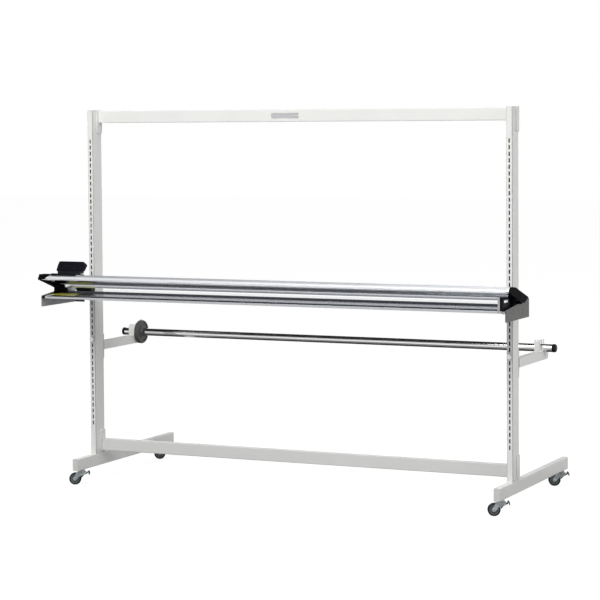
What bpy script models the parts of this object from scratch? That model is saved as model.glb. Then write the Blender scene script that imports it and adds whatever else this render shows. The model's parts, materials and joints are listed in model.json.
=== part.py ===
# Roll stand with a rotary cutter.
# Two slotted uprights stand on feet with braked casters and carry a cutter across
# the front and a roll shaft in cradles at the rear.
# Metres. X runs along the beams, Y from the cutter to the rear, Z up. Sizes below are
# measured from the uprights' front face, from the floor and from the middle of the beams.

from math import atan2, cos, pi, radians, sin, tan

import bmesh
import bpy
from mathutils import Matrix, Vector

# General
GAP = 0.0003             # between pieces that touch
OVERRUN = 0.002          # how far a cut runs past the face it opens
WELD = 0.0007            # how far fused shapes reach into each other
WELD_STITCH = 0.000001   # merging distance on the axis of a turned piece
SMOOTH_ANGLE = radians(35)
BEVEL_SHARE = 0.5        # a bevel as round as an arc
ROUND_STEPS = 3
FINE_STEPS = 5

# Uprights
UPRIGHT_SPACING = 1.840
UPRIGHT_LENGTH = 1.4347
UPRIGHT_WIDTH = 0.025
UPRIGHT_DEPTH = 0.072
TUBE_WALL = 0.002
TUBE_CORNER = 0.003
SLOT_PITCH = 0.025
SLOT_WIDTH = 0.0052
SLOT_HEIGHT = 0.0165
SLOT_TOP_DROP = 0.127
SLOT_BOTTOM_RISE = 0.130 # no slot starts below this
UPRIGHT_CAP_FLANGE = 0.003
UPRIGHT_CAP_SHANK = 0.014

# Feet and their plugs
FOOT_LENGTH = 0.826
FOOT_HEIGHT = 0.050
FOOT_WIDTH = 0.025
FOOT_REACH = 0.1475      # ahead of the uprights' front face
PLUG_FLANGE = 0.0025
PLUG_SHANK = 0.014
PLUG_WALL = 0.002

# Beams and saddles
BEAM_DEPTH = 0.025
BEAM_HEIGHT = 0.050
BOTTOM_BEAM_RISE = 0.0105
SADDLE_SHEET = 0.003
SADDLE_BEND = 0.004
SADDLE_CORNER = 0.012
SADDLE_INNER_REACH = 0.044
SADDLE_OUTER_REACH = 0.032
TOP_SADDLE_HEIGHT = 0.097
BOTTOM_SADDLE_HEIGHT = 0.093
BOTTOM_SADDLE_RISE = 0.005

# Casters
CASTER_HEIGHT = 0.063
CASTER_FRONT_INSET = 0.0505
CASTER_REAR_INSET = 0.0465
CASTER_TRAIL = 0.028
CASTER_TURN = radians(203)
WHEEL_RADIUS = 0.025
WHEEL_WIDTH = 0.018
WHEEL_RIM_RADIUS = 0.0165
WHEEL_DISH = 0.002
HUB_RADIUS = 0.0065
HUB_REACH = 0.0012
TREAD_ROUNDING = 0.0025
AXLE_RADIUS = 0.003
AXLE_HEAD_RADIUS = 0.0055
AXLE_HEAD = 0.0018
RUNNING_GAP = 0.0003
FORK_SHEET = 0.0025
FORK_SIDE_GAP = 0.0015
FORK_NOSE = 0.018
FORK_TAIL = 0.020
FORK_BOSS_RADIUS = 0.008
RACE_RADIUS = 0.017
RACE_HEIGHT = 0.004
COLLAR_RADIUS = 0.012
COLLAR_HEIGHT = 0.005
STEM_RADIUS = 0.006
STEM_REACH = 0.024
STEM_TIP = 0.0015
KINGPIN_RADIUS = 0.005
KINGPIN_HEAD_RADIUS = 0.008
KINGPIN_HEAD = 0.003
PEDAL_PIVOT_REACH = 0.014
PEDAL_PIVOT_DROP = 0.004
PEDAL_BARREL_RADIUS = 0.003
PEDAL_PIN_RADIUS = 0.0016
PEDAL_REACH = 0.036
PEDAL_DROP = 0.005
PEDAL_SHEET = 0.003
PEDAL_WIDTH = 0.028
PEDAL_WINDOW_WIDTH = 0.014
PEDAL_WINDOW_LENGTH = 0.008
PEDAL_LIP = 0.003
PEDAL_CLEARANCE = 0.001  # between the fork's nose and the pedal's wide part
BRAKE_SHOE_WIDTH = 0.014
BRAKE_SHOE_ANGLE = radians(166)
BRAKE_SHOE_LENGTH = 0.008
BRAKE_SHOE_GAP = 0.0008   # to the tread

# Cutter: base, cutting strip and side plates
CUTTER_SLOT = 26         # counted from the top slot, which is 0
DECK_RISE = 0.035        # deck above that slot
BASE_INSET = 0.017       # base's ends inside the plates' outer faces
BASE_DEPTH = 0.2677
BASE_WALL = 0.0028
TABLE_FALL = 0.011
LIP_HEIGHT = 0.009
WEB_HEIGHT = 0.0465
EDGE_SETBACK = 0.1337
STRIP_WIDTH = 0.010
STRIP_HEIGHT = 0.004
STRIP_SEAT = 0.002
GROOVE_WIDTH = 0.012
GROOVE_DEPTH = 0.006
PLATE_OVERHANG = 0.080   # plates' outer faces beyond the uprights' middle
PLATE_SHEET = 0.003
PLATE_FRONT_HEIGHT = 0.045
PLATE_REAR_HEIGHT = 0.073
PLATE_FALL = 0.054       # lower edge below the deck
PLATE_FLANGE = 0.047
PLATE_FLANGE_HEIGHT = 0.040
PLATE_CORNER = 0.004

# Guide rail, end caps and strap
RAIL_INSET = 0.005       # rail's left end inside the left plate's outer face
RAIL_REACH = 0.0117      # rail's right end beyond the right plate's outer face
RAIL_NOSE = 0.003        # rail's tip ahead of the base
RAIL_HEIGHT = 0.061
RAIL_WALL = 0.0025
RAIL_GROOVE_WIDTH = 0.008
RAIL_GROOVE_DEPTH = 0.0013
SHEET_GAP = 0.017        # rail's heel above the deck
HEEL_LEAD = 0.002        # heel ahead of the cutting edge
CAP_OVERHANG = 0.015     # beyond the plates' outer faces
SPINE_INSET = 0.0247
SPINE_DEPTH = 0.040
CAP_TAIL_REACH = 0.057
CAP_TAIL_RISE = 0.010
CAP_CORNER = 0.005
CAP_PLUG = 0.015
CAP_UNDERCUT = 0.005
CAP_CHEEK = 0.039        # web under the rail, ahead of the heel
HOOD_SHEET = 0.0015
HOOD_INSET = 0.040       # left cap's hood over the rail, from the plate's outer face
HOOD_TOE_INSET = 0.008
CAP_TAIL_DROP = 0.010
JAW_HEIGHT = 0.012
STRAP_SHEET = 0.011
STRAP_INSET = 0.0135     # inside the right plate's outer face
STRAP_CORNER = 0.002
WINDOW_INSET = 0.020     # behind the strap's front edge
WINDOW_LENGTH = 0.037
WINDOW_HEIGHT = 0.012
WINDOW_RISE = 0.0225     # above the deck

# Cutting head
HEAD_PARK = 0.043        # carriage's end inside the left plate's outer face, as photographed
CARRIAGE_LENGTH = 0.116
CARRIAGE_SHEET = 0.004
CARRIAGE_LIP = 0.006
COVER_LENGTH = 0.129
COVER_INSET = 0.022
COVER_DEPTH = 0.043
COVER_HEIGHT = 0.049
COVER_SKIRT = 0.009
COVER_SKIRT_INSET = 0.005
COVER_SKIRT_LEFT = 0.008
COVER_CORNER = 0.006
COVER_GRIP_DEPTH = 0.004
BLADE_RADIUS = 0.0225
BLADE_THICKNESS = 0.0015
BLADE_BEVEL = 0.0035
BLADE_DIP = 0.001        # below the deck
BLADE_PLACE = 0.0137     # from the carriage's left end
BLADE_PIN_RADIUS = 0.004
BLADE_NUT_RADIUS = 0.007
BLADE_NUT = 0.002
HOLDER_SHEET = 0.0045
HOLDER_LEFT = 0.002
HOLDER_LENGTH = 0.103
HOLDER_DROP = 0.015
SHOE_LEFT = 0.035
SHOE_LENGTH = 0.068
SHOE_DEPTH = 0.037
SHOE_HEIGHT = 0.0145
SHOE_LIFT = 0.0025

# Roll arms, shaft and flange
ARM_SLOT = 33
ARM_WIDTH = 0.030
ARM_HEIGHT = 0.035
ARM_SHEET = 0.0025
ARM_LENGTH = 0.348
ARM_DROP = 0.014         # arm's top below its slot
ARM_PLATE_HEIGHT = 0.103
ARM_PLATE_RISE = 0.016   # back plate's top above its slot
ARM_PLATE_SHEET = 0.003
ARM_END_CORNER = 0.010
ARM_HOLE_RADIUS = 0.0035
ARM_HOLE_PLACE = 0.037
ARM_HOLE_DROP = 0.018
ARM_TAIL = 0.0475        # arm's end behind the shaft's axis
SHAFT_RISE = 0.0117      # axis above the arm's top edge
SHAFT_RADIUS = 0.0165
SHAFT_WALL = 0.002
SHAFT_OVERHANG = 0.050   # tube's ends beyond the uprights' middle
SHAFT_CAP = 0.020
SHAFT_CAP_SHANK = 0.018
SHAFT_CAP_ROUNDING = 0.007
PRONG_DEPTH = 0.0225
PRONG_HEIGHT = 0.033
PRONG_HOOK = 0.004
REAR_PRONG = 0.010
FLANGE_RADIUS = 0.050
FLANGE_WIDTH = 0.020
FLANGE_DISC = 0.010
FLANGE_HUB_RADIUS = 0.027
FLANGE_ROUNDING = 0.002
FLANGE_SCREW_RADIUS = 0.003
FLANGE_SCREW_HEAD_RADIUS = 0.0055
FLANGE_SCREW_HEAD = 0.004

# Bolts that hold the arms and the cutter in the slots
ARM_BOLT_WIDTH = 0.030
ARM_BOLT_HEAD = 0.010
ARM_BOLT_SIDES = 8
BOLT_SHANK_RADIUS = 0.0017
CUTTER_BOLT_RADIUS = 0.006
CUTTER_BOLT_HEAD = 0.004
CUTTER_BOLT_REACH = 0.010

# Facets of round pieces
WHEEL_FACETS = 24
PIN_FACETS = 10
STEM_FACETS = 16
SHAFT_FACETS = 24
FLANGE_FACETS = 40
BLADE_FACETS = 32

# Outlines as shares of the sizes they follow
RAIL_SHARES = ((0.0, 0.656), (0.104, 1.0), (0.533, 0.918), (1.0, 0.0))
GROOVE_PLACE_SHARE = 0.55       # along the rail's top flat
COVER_TOP_SHARES = (0.124, 0.905)
COVER_LEAN_SHARE = 0.28
COVER_GRIP_SHARES = ((0.36, 0.58), (0.60, 0.78))
FORK_WAIST_SHARE = 0.45
LEG_SHARE = 0.72                # of the rail's slope that the carriage's leg covers

# Places worked out from the sizes above
HALF_SPACING = UPRIGHT_SPACING / 2
SLOT_COUNT = 1 + int((UPRIGHT_LENGTH - SLOT_TOP_DROP - SLOT_BOTTOM_RISE) / SLOT_PITCH)
PLATE_SPAN = UPRIGHT_SPACING + 2 * PLATE_OVERHANG
BASE_LENGTH = PLATE_SPAN - 2 * BASE_INSET
RAIL_LEFT = RAIL_INSET - PLATE_SPAN / 2
RAIL_RIGHT = PLATE_SPAN / 2 + RAIL_REACH
SPINE_SPAN = PLATE_SPAN - 2 * SPINE_INSET
CAP_SPAN = PLATE_SPAN + 2 * CAP_OVERHANG
HEAD_LEFT = HEAD_PARK - PLATE_SPAN / 2
SHAFT_LENGTH = UPRIGHT_SPACING + 2 * SHAFT_OVERHANG
FOOT_TOP = CASTER_HEIGHT + FOOT_HEIGHT
UPRIGHT_BOTTOM = FOOT_TOP + GAP
UPRIGHT_TOP = UPRIGHT_BOTTOM + UPRIGHT_LENGTH
FOOT_FRONT = -FOOT_REACH
FOOT_REAR = FOOT_FRONT + FOOT_LENGTH
BASE_REAR = -GAP
BASE_FRONT = BASE_REAR - BASE_DEPTH
EDGE = BASE_REAR - EDGE_SETBACK
HEEL = EDGE - HEEL_LEAD
RAIL_TIP = BASE_FRONT - RAIL_NOSE
RAIL_DEPTH = HEEL - RAIL_TIP
MIDDLE = (RAIL_TIP + FOOT_REAR + GAP + PLUG_FLANGE) / 2


def slotHeight(number):
    return UPRIGHT_TOP - SLOT_TOP_DROP - number * SLOT_PITCH


DECK = slotHeight(CUTTER_SLOT) + DECK_RISE
HEEL_HEIGHT = DECK + SHEET_GAP
ARM_TOP = slotHeight(ARM_SLOT) - ARM_DROP
SHAFT_SETBACK = ARM_LENGTH - ARM_TAIL
SHAFT_PLACE = UPRIGHT_DEPTH + SHAFT_SETBACK
SHAFT_HEIGHT = ARM_TOP + SHAFT_RISE


# Materials

def makeMaterial(name, colour, roughness, metallic):
    material = bpy.data.materials.new(name)
    material.use_nodes = True
    shader = material.node_tree.nodes["Principled BSDF"]
    shader.inputs["Base Color"].default_value = (*colour, 1.0)
    shader.inputs["Roughness"].default_value = roughness
    shader.inputs["Metallic"].default_value = metallic
    material.diffuse_color = (*colour, 1.0)
    return material


# Shapes

def span(start, end):
    return (min(start, end), max(start, end))


def along(axis, first, second, height):
    # A point whose outline coordinates are first and second, at a height along the axis.
    if axis == "X":
        return (height, first, second)
    if axis == "Y":
        return (first, height, second)
    return (first, second, height)


def prism(outline, start, end, axis):
    # A flat outline pushed out along an axis.
    shape = bmesh.new()
    low, high = span(start, end)
    face = shape.faces.new([shape.verts.new(along(axis, u, v, low)) for u, v in outline])
    pushed = bmesh.ops.extrude_face_region(shape, geom=[face])
    corners = [item for item in pushed["geom"] if isinstance(item, bmesh.types.BMVert)]
    bmesh.ops.translate(shape, verts=corners, vec=along(axis, 0.0, 0.0, high - low))
    bmesh.ops.recalc_face_normals(shape, faces=shape.faces)
    return shape


def rectangle(left, right, low, high):
    return [(left, low), (right, low), (right, high), (left, high)]


def block(xs, ys, zs):
    return prism(rectangle(*span(*xs), *span(*ys)), *zs, "Z")


def rounded(corners, radius, steps=ROUND_STEPS):
    # The outline with an arc in each corner; radius is one length or one per corner.
    radii = radius if isinstance(radius, (list, tuple)) else [radius] * len(corners)
    points = []
    for index, corner in enumerate(corners):
        here = Vector(corner)
        if radii[index] <= 0:
            points.append((here.x, here.y))
            continue
        back = (Vector(corners[index - 1]) - here).normalized()
        ahead = (Vector(corners[(index + 1) % len(corners)]) - here).normalized()
        half = back.angle(ahead) / 2
        centre = here + (back + ahead).normalized() * radii[index] / sin(half)
        first = here + back * radii[index] / tan(half) - centre
        last = here + ahead * radii[index] / tan(half) - centre
        turn = atan2(first.cross(last), first.dot(last))
        for step in range(steps + 1):
            arm = Matrix.Rotation(turn * step / steps, 2) @ first
            points.append((centre.x + arm.x, centre.y + arm.y))
    return points


def inset(corners, distance):
    # The outline with each side moved inwards; corners run anticlockwise.
    points = []
    for index, corner in enumerate(corners):
        here = Vector(corner)
        back = (here - Vector(corners[index - 1])).normalized()
        ahead = (Vector(corners[(index + 1) % len(corners)]) - here).normalized()
        inward = (Vector((-back.y, back.x)) + Vector((-ahead.y, ahead.x))).normalized()
        moved = here + inward * distance / inward.dot(Vector((-back.y, back.x)))
        points.append((moved.x, moved.y))
    return points


def circle(centre, radius, facets, turn=0.0):
    return [
        (centre[0] + radius * cos(turn + 2 * pi * k / facets),
         centre[1] + radius * sin(turn + 2 * pi * k / facets))
        for k in range(facets)
    ]


def turned(profile, facets, axis, ring=False):
    # A profile of (radius, height) spun about an axis; ring closes the profile on itself.
    shape = bmesh.new()
    corners = [shape.verts.new((radius, 0.0, height)) for radius, height in profile]
    edges = [shape.edges.new(pair) for pair in zip(corners, corners[1:])]
    if ring:
        edges.append(shape.edges.new((corners[-1], corners[0])))
    bmesh.ops.spin(
        shape, geom=corners + edges, cent=(0, 0, 0), axis=(0, 0, 1),
        angle=2 * pi, steps=facets, use_merge=True,
    )
    bmesh.ops.remove_doubles(shape, verts=shape.verts, dist=WELD_STITCH)
    bmesh.ops.recalc_face_normals(shape, faces=shape.faces)
    if axis == "X":
        shape.transform(Matrix.Rotation(pi / 2, 4, "Y"))
    if axis == "Y":
        shape.transform(Matrix.Rotation(-pi / 2, 4, "X"))
    return shape


def cylinder(radius, start, end, facets, axis):
    low, high = span(start, end)
    return turned([(0.0, low), (radius, low), (radius, high), (0.0, high)], facets, axis)


def moved(shape, place):
    bmesh.ops.translate(shape, verts=shape.verts, vec=place)
    return shape


def bevelEdges(shape, chosen, radius, steps=ROUND_STEPS):
    bmesh.ops.bevel(
        shape, geom=[edge for edge in shape.edges if chosen(edge)], offset=radius,
        offset_type="OFFSET", segments=steps, profile=BEVEL_SHARE, affect="EDGES",
    )
    return shape


# Objects

def addPiece(name, shape, material, parent, place=(0, 0, 0)):
    # The shape is given in the parent's frame and gets its origin at place.
    bmesh.ops.recalc_face_normals(shape, faces=shape.faces)
    mesh = bpy.data.meshes.new(name)
    shape.to_mesh(mesh)
    shape.free()
    mesh.transform(Matrix.Translation(-Vector(place)))
    piece = bpy.data.objects.new(name, mesh)
    bpy.context.scene.collection.objects.link(piece)
    piece.parent = parent
    piece.location = place
    mesh.materials.append(material)
    finish(piece)
    return piece


def finish(piece):
    piece.data.shade_smooth()
    piece.data.set_sharp_from_angle(angle=SMOOTH_ANGLE)


def combine(piece, shape, operation):
    # Cuts the shape out of the piece or fuses it on; the shape is in the parent's frame.
    mesh = bpy.data.meshes.new(piece.name + "_tool")
    shape.to_mesh(mesh)
    shape.free()
    tool = bpy.data.objects.new(piece.name + "_tool", mesh)
    bpy.context.scene.collection.objects.link(tool)
    tool.parent = piece.parent
    tool.hide_render = True
    tool.display_type = "WIRE"
    modifier = piece.modifiers.new("combine", "BOOLEAN")
    modifier.operation = operation
    modifier.solver = "EXACT"
    modifier.object = tool
    bpy.context.view_layer.update()
    graph = bpy.context.evaluated_depsgraph_get()
    result = bpy.data.meshes.new_from_object(piece.evaluated_get(graph))
    piece.modifiers.clear()
    old = piece.data
    piece.data = result
    result.name = piece.name
    bpy.data.objects.remove(tool)
    bpy.data.meshes.remove(mesh)
    bpy.data.meshes.remove(old)
    finish(piece)


def cut(piece, shape):
    combine(piece, shape, "DIFFERENCE")


def fuse(piece, shape):
    combine(piece, shape, "UNION")


def addEmpty(name, parent, place, turn=0.0):
    empty = bpy.data.objects.new(name, None)
    bpy.context.scene.collection.objects.link(empty)
    empty.parent = parent
    empty.location = place
    empty.rotation_euler.z = turn
    return empty


def sideName(side):
    return "right" if side > 0 else "left"


# Frame

def addTube(name, outline, start, end, axis, material, stand, place):
    # A square tube open at both ends.
    shape = prism(rounded(outline, TUBE_CORNER), start, end, axis)
    piece = addPiece(name, shape, material, stand, place)
    bore = rounded(inset(outline, TUBE_WALL), TUBE_CORNER - TUBE_WALL, 1)
    cut(piece, prism(bore, start - OVERRUN, end + OVERRUN, axis))
    return piece


def addPlug(name, outline, start, flange, shank, axis, material, stand, place):
    # A moulded plug: a flange on the tube's end and a hollow shank inside it. The sign of
    # flange and shank gives the way they run from the tube's end.
    way = 1 if flange > 0 else -1
    face = start + way * GAP
    shape = prism(rounded(outline, TUBE_CORNER), face, face + flange, axis)
    piece = addPiece(name, shape, material, stand, place)
    shankOutline = rounded(inset(outline, TUBE_WALL + GAP), TUBE_CORNER - TUBE_WALL, 1)
    fuse(piece, prism(shankOutline, face + way * WELD, start - way * shank, axis))
    well = inset(outline, TUBE_WALL + GAP + PLUG_WALL)
    cut(piece, prism(well, face, start - way * (shank + OVERRUN), axis))
    return piece


def addUpright(side, steel, plastic, stand):
    name = sideName(side)
    centre = side * HALF_SPACING
    outline = rectangle(
        centre - UPRIGHT_WIDTH / 2, centre + UPRIGHT_WIDTH / 2, 0.0, UPRIGHT_DEPTH)
    place = (centre, UPRIGHT_DEPTH / 2, UPRIGHT_BOTTOM)
    upright = addTube(
        "upright_" + name, outline, UPRIGHT_BOTTOM, UPRIGHT_TOP, "Z", steel, stand, place)
    slots = bmesh.new()
    for number in range(SLOT_COUNT):
        slot = bmesh.ops.create_cube(slots, size=1.0)["verts"]
        bmesh.ops.scale(slots, verts=slot, vec=(SLOT_WIDTH, TUBE_WALL + 2 * OVERRUN, SLOT_HEIGHT))
        bmesh.ops.translate(
            slots, verts=slot, vec=(centre, TUBE_WALL / 2, slotHeight(number)))
    cut(upright, slots)
    boltHole = cylinder(
        BOLT_SHANK_RADIUS + GAP, UPRIGHT_DEPTH - TUBE_WALL - OVERRUN, UPRIGHT_DEPTH + OVERRUN,
        PIN_FACETS, "Y")
    cut(upright, moved(boltHole, (centre, 0, slotHeight(ARM_SLOT))))
    addPlug(
        "upright_cap_" + name, outline, UPRIGHT_TOP, UPRIGHT_CAP_FLANGE, UPRIGHT_CAP_SHANK, "Z",
        plastic, stand, (centre, UPRIGHT_DEPTH / 2, UPRIGHT_TOP))


def addBeam(name, bottom, steel, stand):
    half = HALF_SPACING - UPRIGHT_WIDTH / 2 - GAP - SADDLE_SHEET - GAP
    outline = rectangle(UPRIGHT_DEPTH - BEAM_DEPTH, UPRIGHT_DEPTH, bottom, bottom + BEAM_HEIGHT)
    place = (0, UPRIGHT_DEPTH - BEAM_DEPTH / 2, bottom + BEAM_HEIGHT / 2)
    return addTube(name, outline, -half, half, "X", steel, stand, place)


def addSaddle(name, side, bottom, height, steel, stand):
    # A plate bent round the rear of the upright, with rounded free corners.
    centre = side * HALF_SPACING
    inner = UPRIGHT_WIDTH / 2 + GAP
    outer = inner + SADDLE_SHEET
    rear = UPRIGHT_DEPTH + GAP + SADDLE_SHEET
    innerFront = UPRIGHT_DEPTH - SADDLE_INNER_REACH
    outerFront = UPRIGHT_DEPTH - SADDLE_OUTER_REACH
    corners = [
        (centre + side * outer, outerFront), (centre + side * outer, rear),
        (centre - side * outer, rear), (centre - side * outer, innerFront),
        (centre - side * inner, innerFront), (centre - side * inner, UPRIGHT_DEPTH + GAP),
        (centre + side * inner, UPRIGHT_DEPTH + GAP), (centre + side * inner, outerFront),
    ]
    bends = [0, SADDLE_BEND, SADDLE_BEND, 0, 0, 0, 0, 0]
    shape = prism(rounded(corners, bends), bottom, bottom + height, "Z")

    def isFreeCorner(edge):
        first, last = edge.verts[0].co, edge.verts[1].co
        ends = (bottom, bottom + height)
        level = abs(first.z - last.z) < WELD_STITCH
        atEnd = min(abs(first.z - z) for z in ends) < WELD_STITCH
        front = max(first.y, last.y) < outerFront + WELD_STITCH
        return level and atEnd and front and abs(first.y - last.y) < WELD_STITCH

    bevelEdges(shape, isFreeCorner, SADDLE_CORNER)
    addPiece(name, shape, steel, stand, (centre, UPRIGHT_DEPTH, bottom + height / 2))


def addFoot(side, steel, plastic, stand):
    name = sideName(side)
    centre = side * HALF_SPACING
    outline = rectangle(
        centre - FOOT_WIDTH / 2, centre + FOOT_WIDTH / 2, CASTER_HEIGHT, FOOT_TOP)
    foot = addTube(
        "foot_" + name, outline, FOOT_FRONT, FOOT_REAR, "Y", steel, stand,
        (centre, UPRIGHT_DEPTH / 2, FOOT_TOP))
    for place in (FOOT_FRONT + CASTER_FRONT_INSET, FOOT_REAR - CASTER_REAR_INSET):
        hole = cylinder(
            STEM_RADIUS + GAP, CASTER_HEIGHT - OVERRUN, CASTER_HEIGHT + TUBE_WALL + OVERRUN,
            STEM_FACETS, "Z")
        cut(foot, moved(hole, (centre, place, 0)))
    middle = CASTER_HEIGHT + FOOT_HEIGHT / 2
    addPlug(
        "foot_plug_front_" + name, outline, FOOT_FRONT, -PLUG_FLANGE, PLUG_SHANK, "Y",
        plastic, stand, (centre, FOOT_FRONT, middle))
    addPlug(
        "foot_plug_rear_" + name, outline, FOOT_REAR, PLUG_FLANGE, PLUG_SHANK, "Y",
        plastic, stand, (centre, FOOT_REAR, middle))


# Casters, modelled with the stem on the Z axis and the wheel trailing along +X

def addCaster(name, place, materials, stand):
    centre = addEmpty("caster_" + name, stand, place, CASTER_TURN)
    forkTop = CASTER_HEIGHT - GAP - COLLAR_HEIGHT - RACE_HEIGHT - GAP
    addStem(name, forkTop, materials["zinc"], centre)
    addFork(name, forkTop, materials["zinc"], centre)
    addWheel(name, materials["tyre"], materials["steel"], centre)
    addPedal(name, forkTop, materials["plastic"], centre)


def addStem(name, forkTop, material, centre):
    # Stem, collar, race and kingpin turned in one piece. The kingpin's head holds the fork.
    head = forkTop - FORK_SHEET - GAP
    profile = [
        (0.0, head - KINGPIN_HEAD), (KINGPIN_HEAD_RADIUS, head - KINGPIN_HEAD),
        (KINGPIN_HEAD_RADIUS, head), (KINGPIN_RADIUS, head),
        (KINGPIN_RADIUS, forkTop + GAP), (RACE_RADIUS, forkTop + GAP),
        (RACE_RADIUS, forkTop + GAP + RACE_HEIGHT / 2),
        (COLLAR_RADIUS, forkTop + GAP + RACE_HEIGHT),
        (COLLAR_RADIUS, CASTER_HEIGHT - GAP), (STEM_RADIUS, CASTER_HEIGHT - GAP),
        (STEM_RADIUS, CASTER_HEIGHT + STEM_REACH - STEM_TIP),
        (STEM_RADIUS - STEM_TIP, CASTER_HEIGHT + STEM_REACH), (0.0, CASTER_HEIGHT + STEM_REACH),
    ]
    addPiece("caster_stem_" + name, turned(profile, STEM_FACETS, "Z"), material, centre)


def addFork(name, forkTop, material, centre):
    # A pressed fork: a top plate and two cheeks that narrow towards the axle.
    inner = WHEEL_WIDTH / 2 + FORK_SIDE_GAP
    outer = inner + FORK_SHEET
    waist = CASTER_TRAIL * FORK_WAIST_SHARE
    boss = circle((CASTER_TRAIL, WHEEL_RADIUS), FORK_BOSS_RADIUS, PIN_FACETS * 2)
    lower = [point for point in boss if point[1] < WHEEL_RADIUS + FORK_BOSS_RADIUS / 2]
    over = WHEEL_RADIUS + FORK_BOSS_RADIUS
    lower.sort(key=lambda point: atan2(point[1] - over, point[0] - CASTER_TRAIL))
    pivotLow = forkTop - PEDAL_PIVOT_DROP - 2 * PEDAL_BARREL_RADIUS
    cheek = [
        (FORK_TAIL, forkTop), (-FORK_NOSE, forkTop), (-FORK_NOSE, pivotLow),
        (waist - FORK_BOSS_RADIUS, pivotLow - FORK_BOSS_RADIUS),
    ]
    shape = prism(cheek + lower, -outer, outer, "Y")
    fork = addPiece("caster_fork_" + name, shape, material, centre)
    well = rectangle(
        -FORK_NOSE - OVERRUN, CASTER_TRAIL + WHEEL_RADIUS, -OVERRUN, forkTop - FORK_SHEET)
    cut(fork, prism(well, -inner, inner, "Y"))
    roof = forkTop - FORK_SHEET
    cut(fork, cylinder(
        KINGPIN_RADIUS + GAP, roof - OVERRUN, forkTop + OVERRUN, STEM_FACETS, "Z"))
    axleHole = cylinder(AXLE_RADIUS + GAP, -outer - OVERRUN, outer + OVERRUN, PIN_FACETS, "Y")
    cut(fork, moved(axleHole, (CASTER_TRAIL, 0, WHEEL_RADIUS)))
    pinHole = cylinder(PEDAL_PIN_RADIUS + GAP, -outer - OVERRUN, outer + OVERRUN, PIN_FACETS, "Y")
    cut(fork, moved(pinHole, (-PEDAL_PIVOT_REACH, 0, forkTop - FORK_SHEET - PEDAL_PIVOT_DROP)))


def addWheel(name, tyre, steel, centre):
    # Tyre and dished hub, spun about the axle, and the axle with its two heads.
    half = WHEEL_WIDTH / 2
    bore = AXLE_RADIUS + RUNNING_GAP
    side = [
        (bore, half + HUB_REACH), (HUB_RADIUS, half + HUB_REACH),
        (HUB_RADIUS, half - WHEEL_DISH), (WHEEL_RIM_RADIUS, half - WHEEL_DISH),
        (WHEEL_RIM_RADIUS, half), (WHEEL_RADIUS - TREAD_ROUNDING, half),
        (WHEEL_RADIUS, half - TREAD_ROUNDING),
    ]
    profile = side + [(radius, -height) for radius, height in reversed(side)]
    axis = (CASTER_TRAIL, 0, WHEEL_RADIUS)
    wheel = moved(turned(profile, WHEEL_FACETS, "Y", ring=True), axis)
    addPiece("caster_wheel_" + name, wheel, tyre, centre, axis)
    outer = half + FORK_SIDE_GAP + FORK_SHEET + GAP
    axleProfile = [
        (0.0, -outer - AXLE_HEAD), (AXLE_HEAD_RADIUS, -outer - AXLE_HEAD),
        (AXLE_HEAD_RADIUS, -outer), (AXLE_RADIUS, -outer), (AXLE_RADIUS, outer),
        (AXLE_HEAD_RADIUS, outer), (AXLE_HEAD_RADIUS, outer + AXLE_HEAD),
        (0.0, outer + AXLE_HEAD),
    ]
    axle = moved(turned(axleProfile, PIN_FACETS, "Y"), axis)
    addPiece("caster_axle_" + name, axle, steel, centre, axis)


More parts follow.
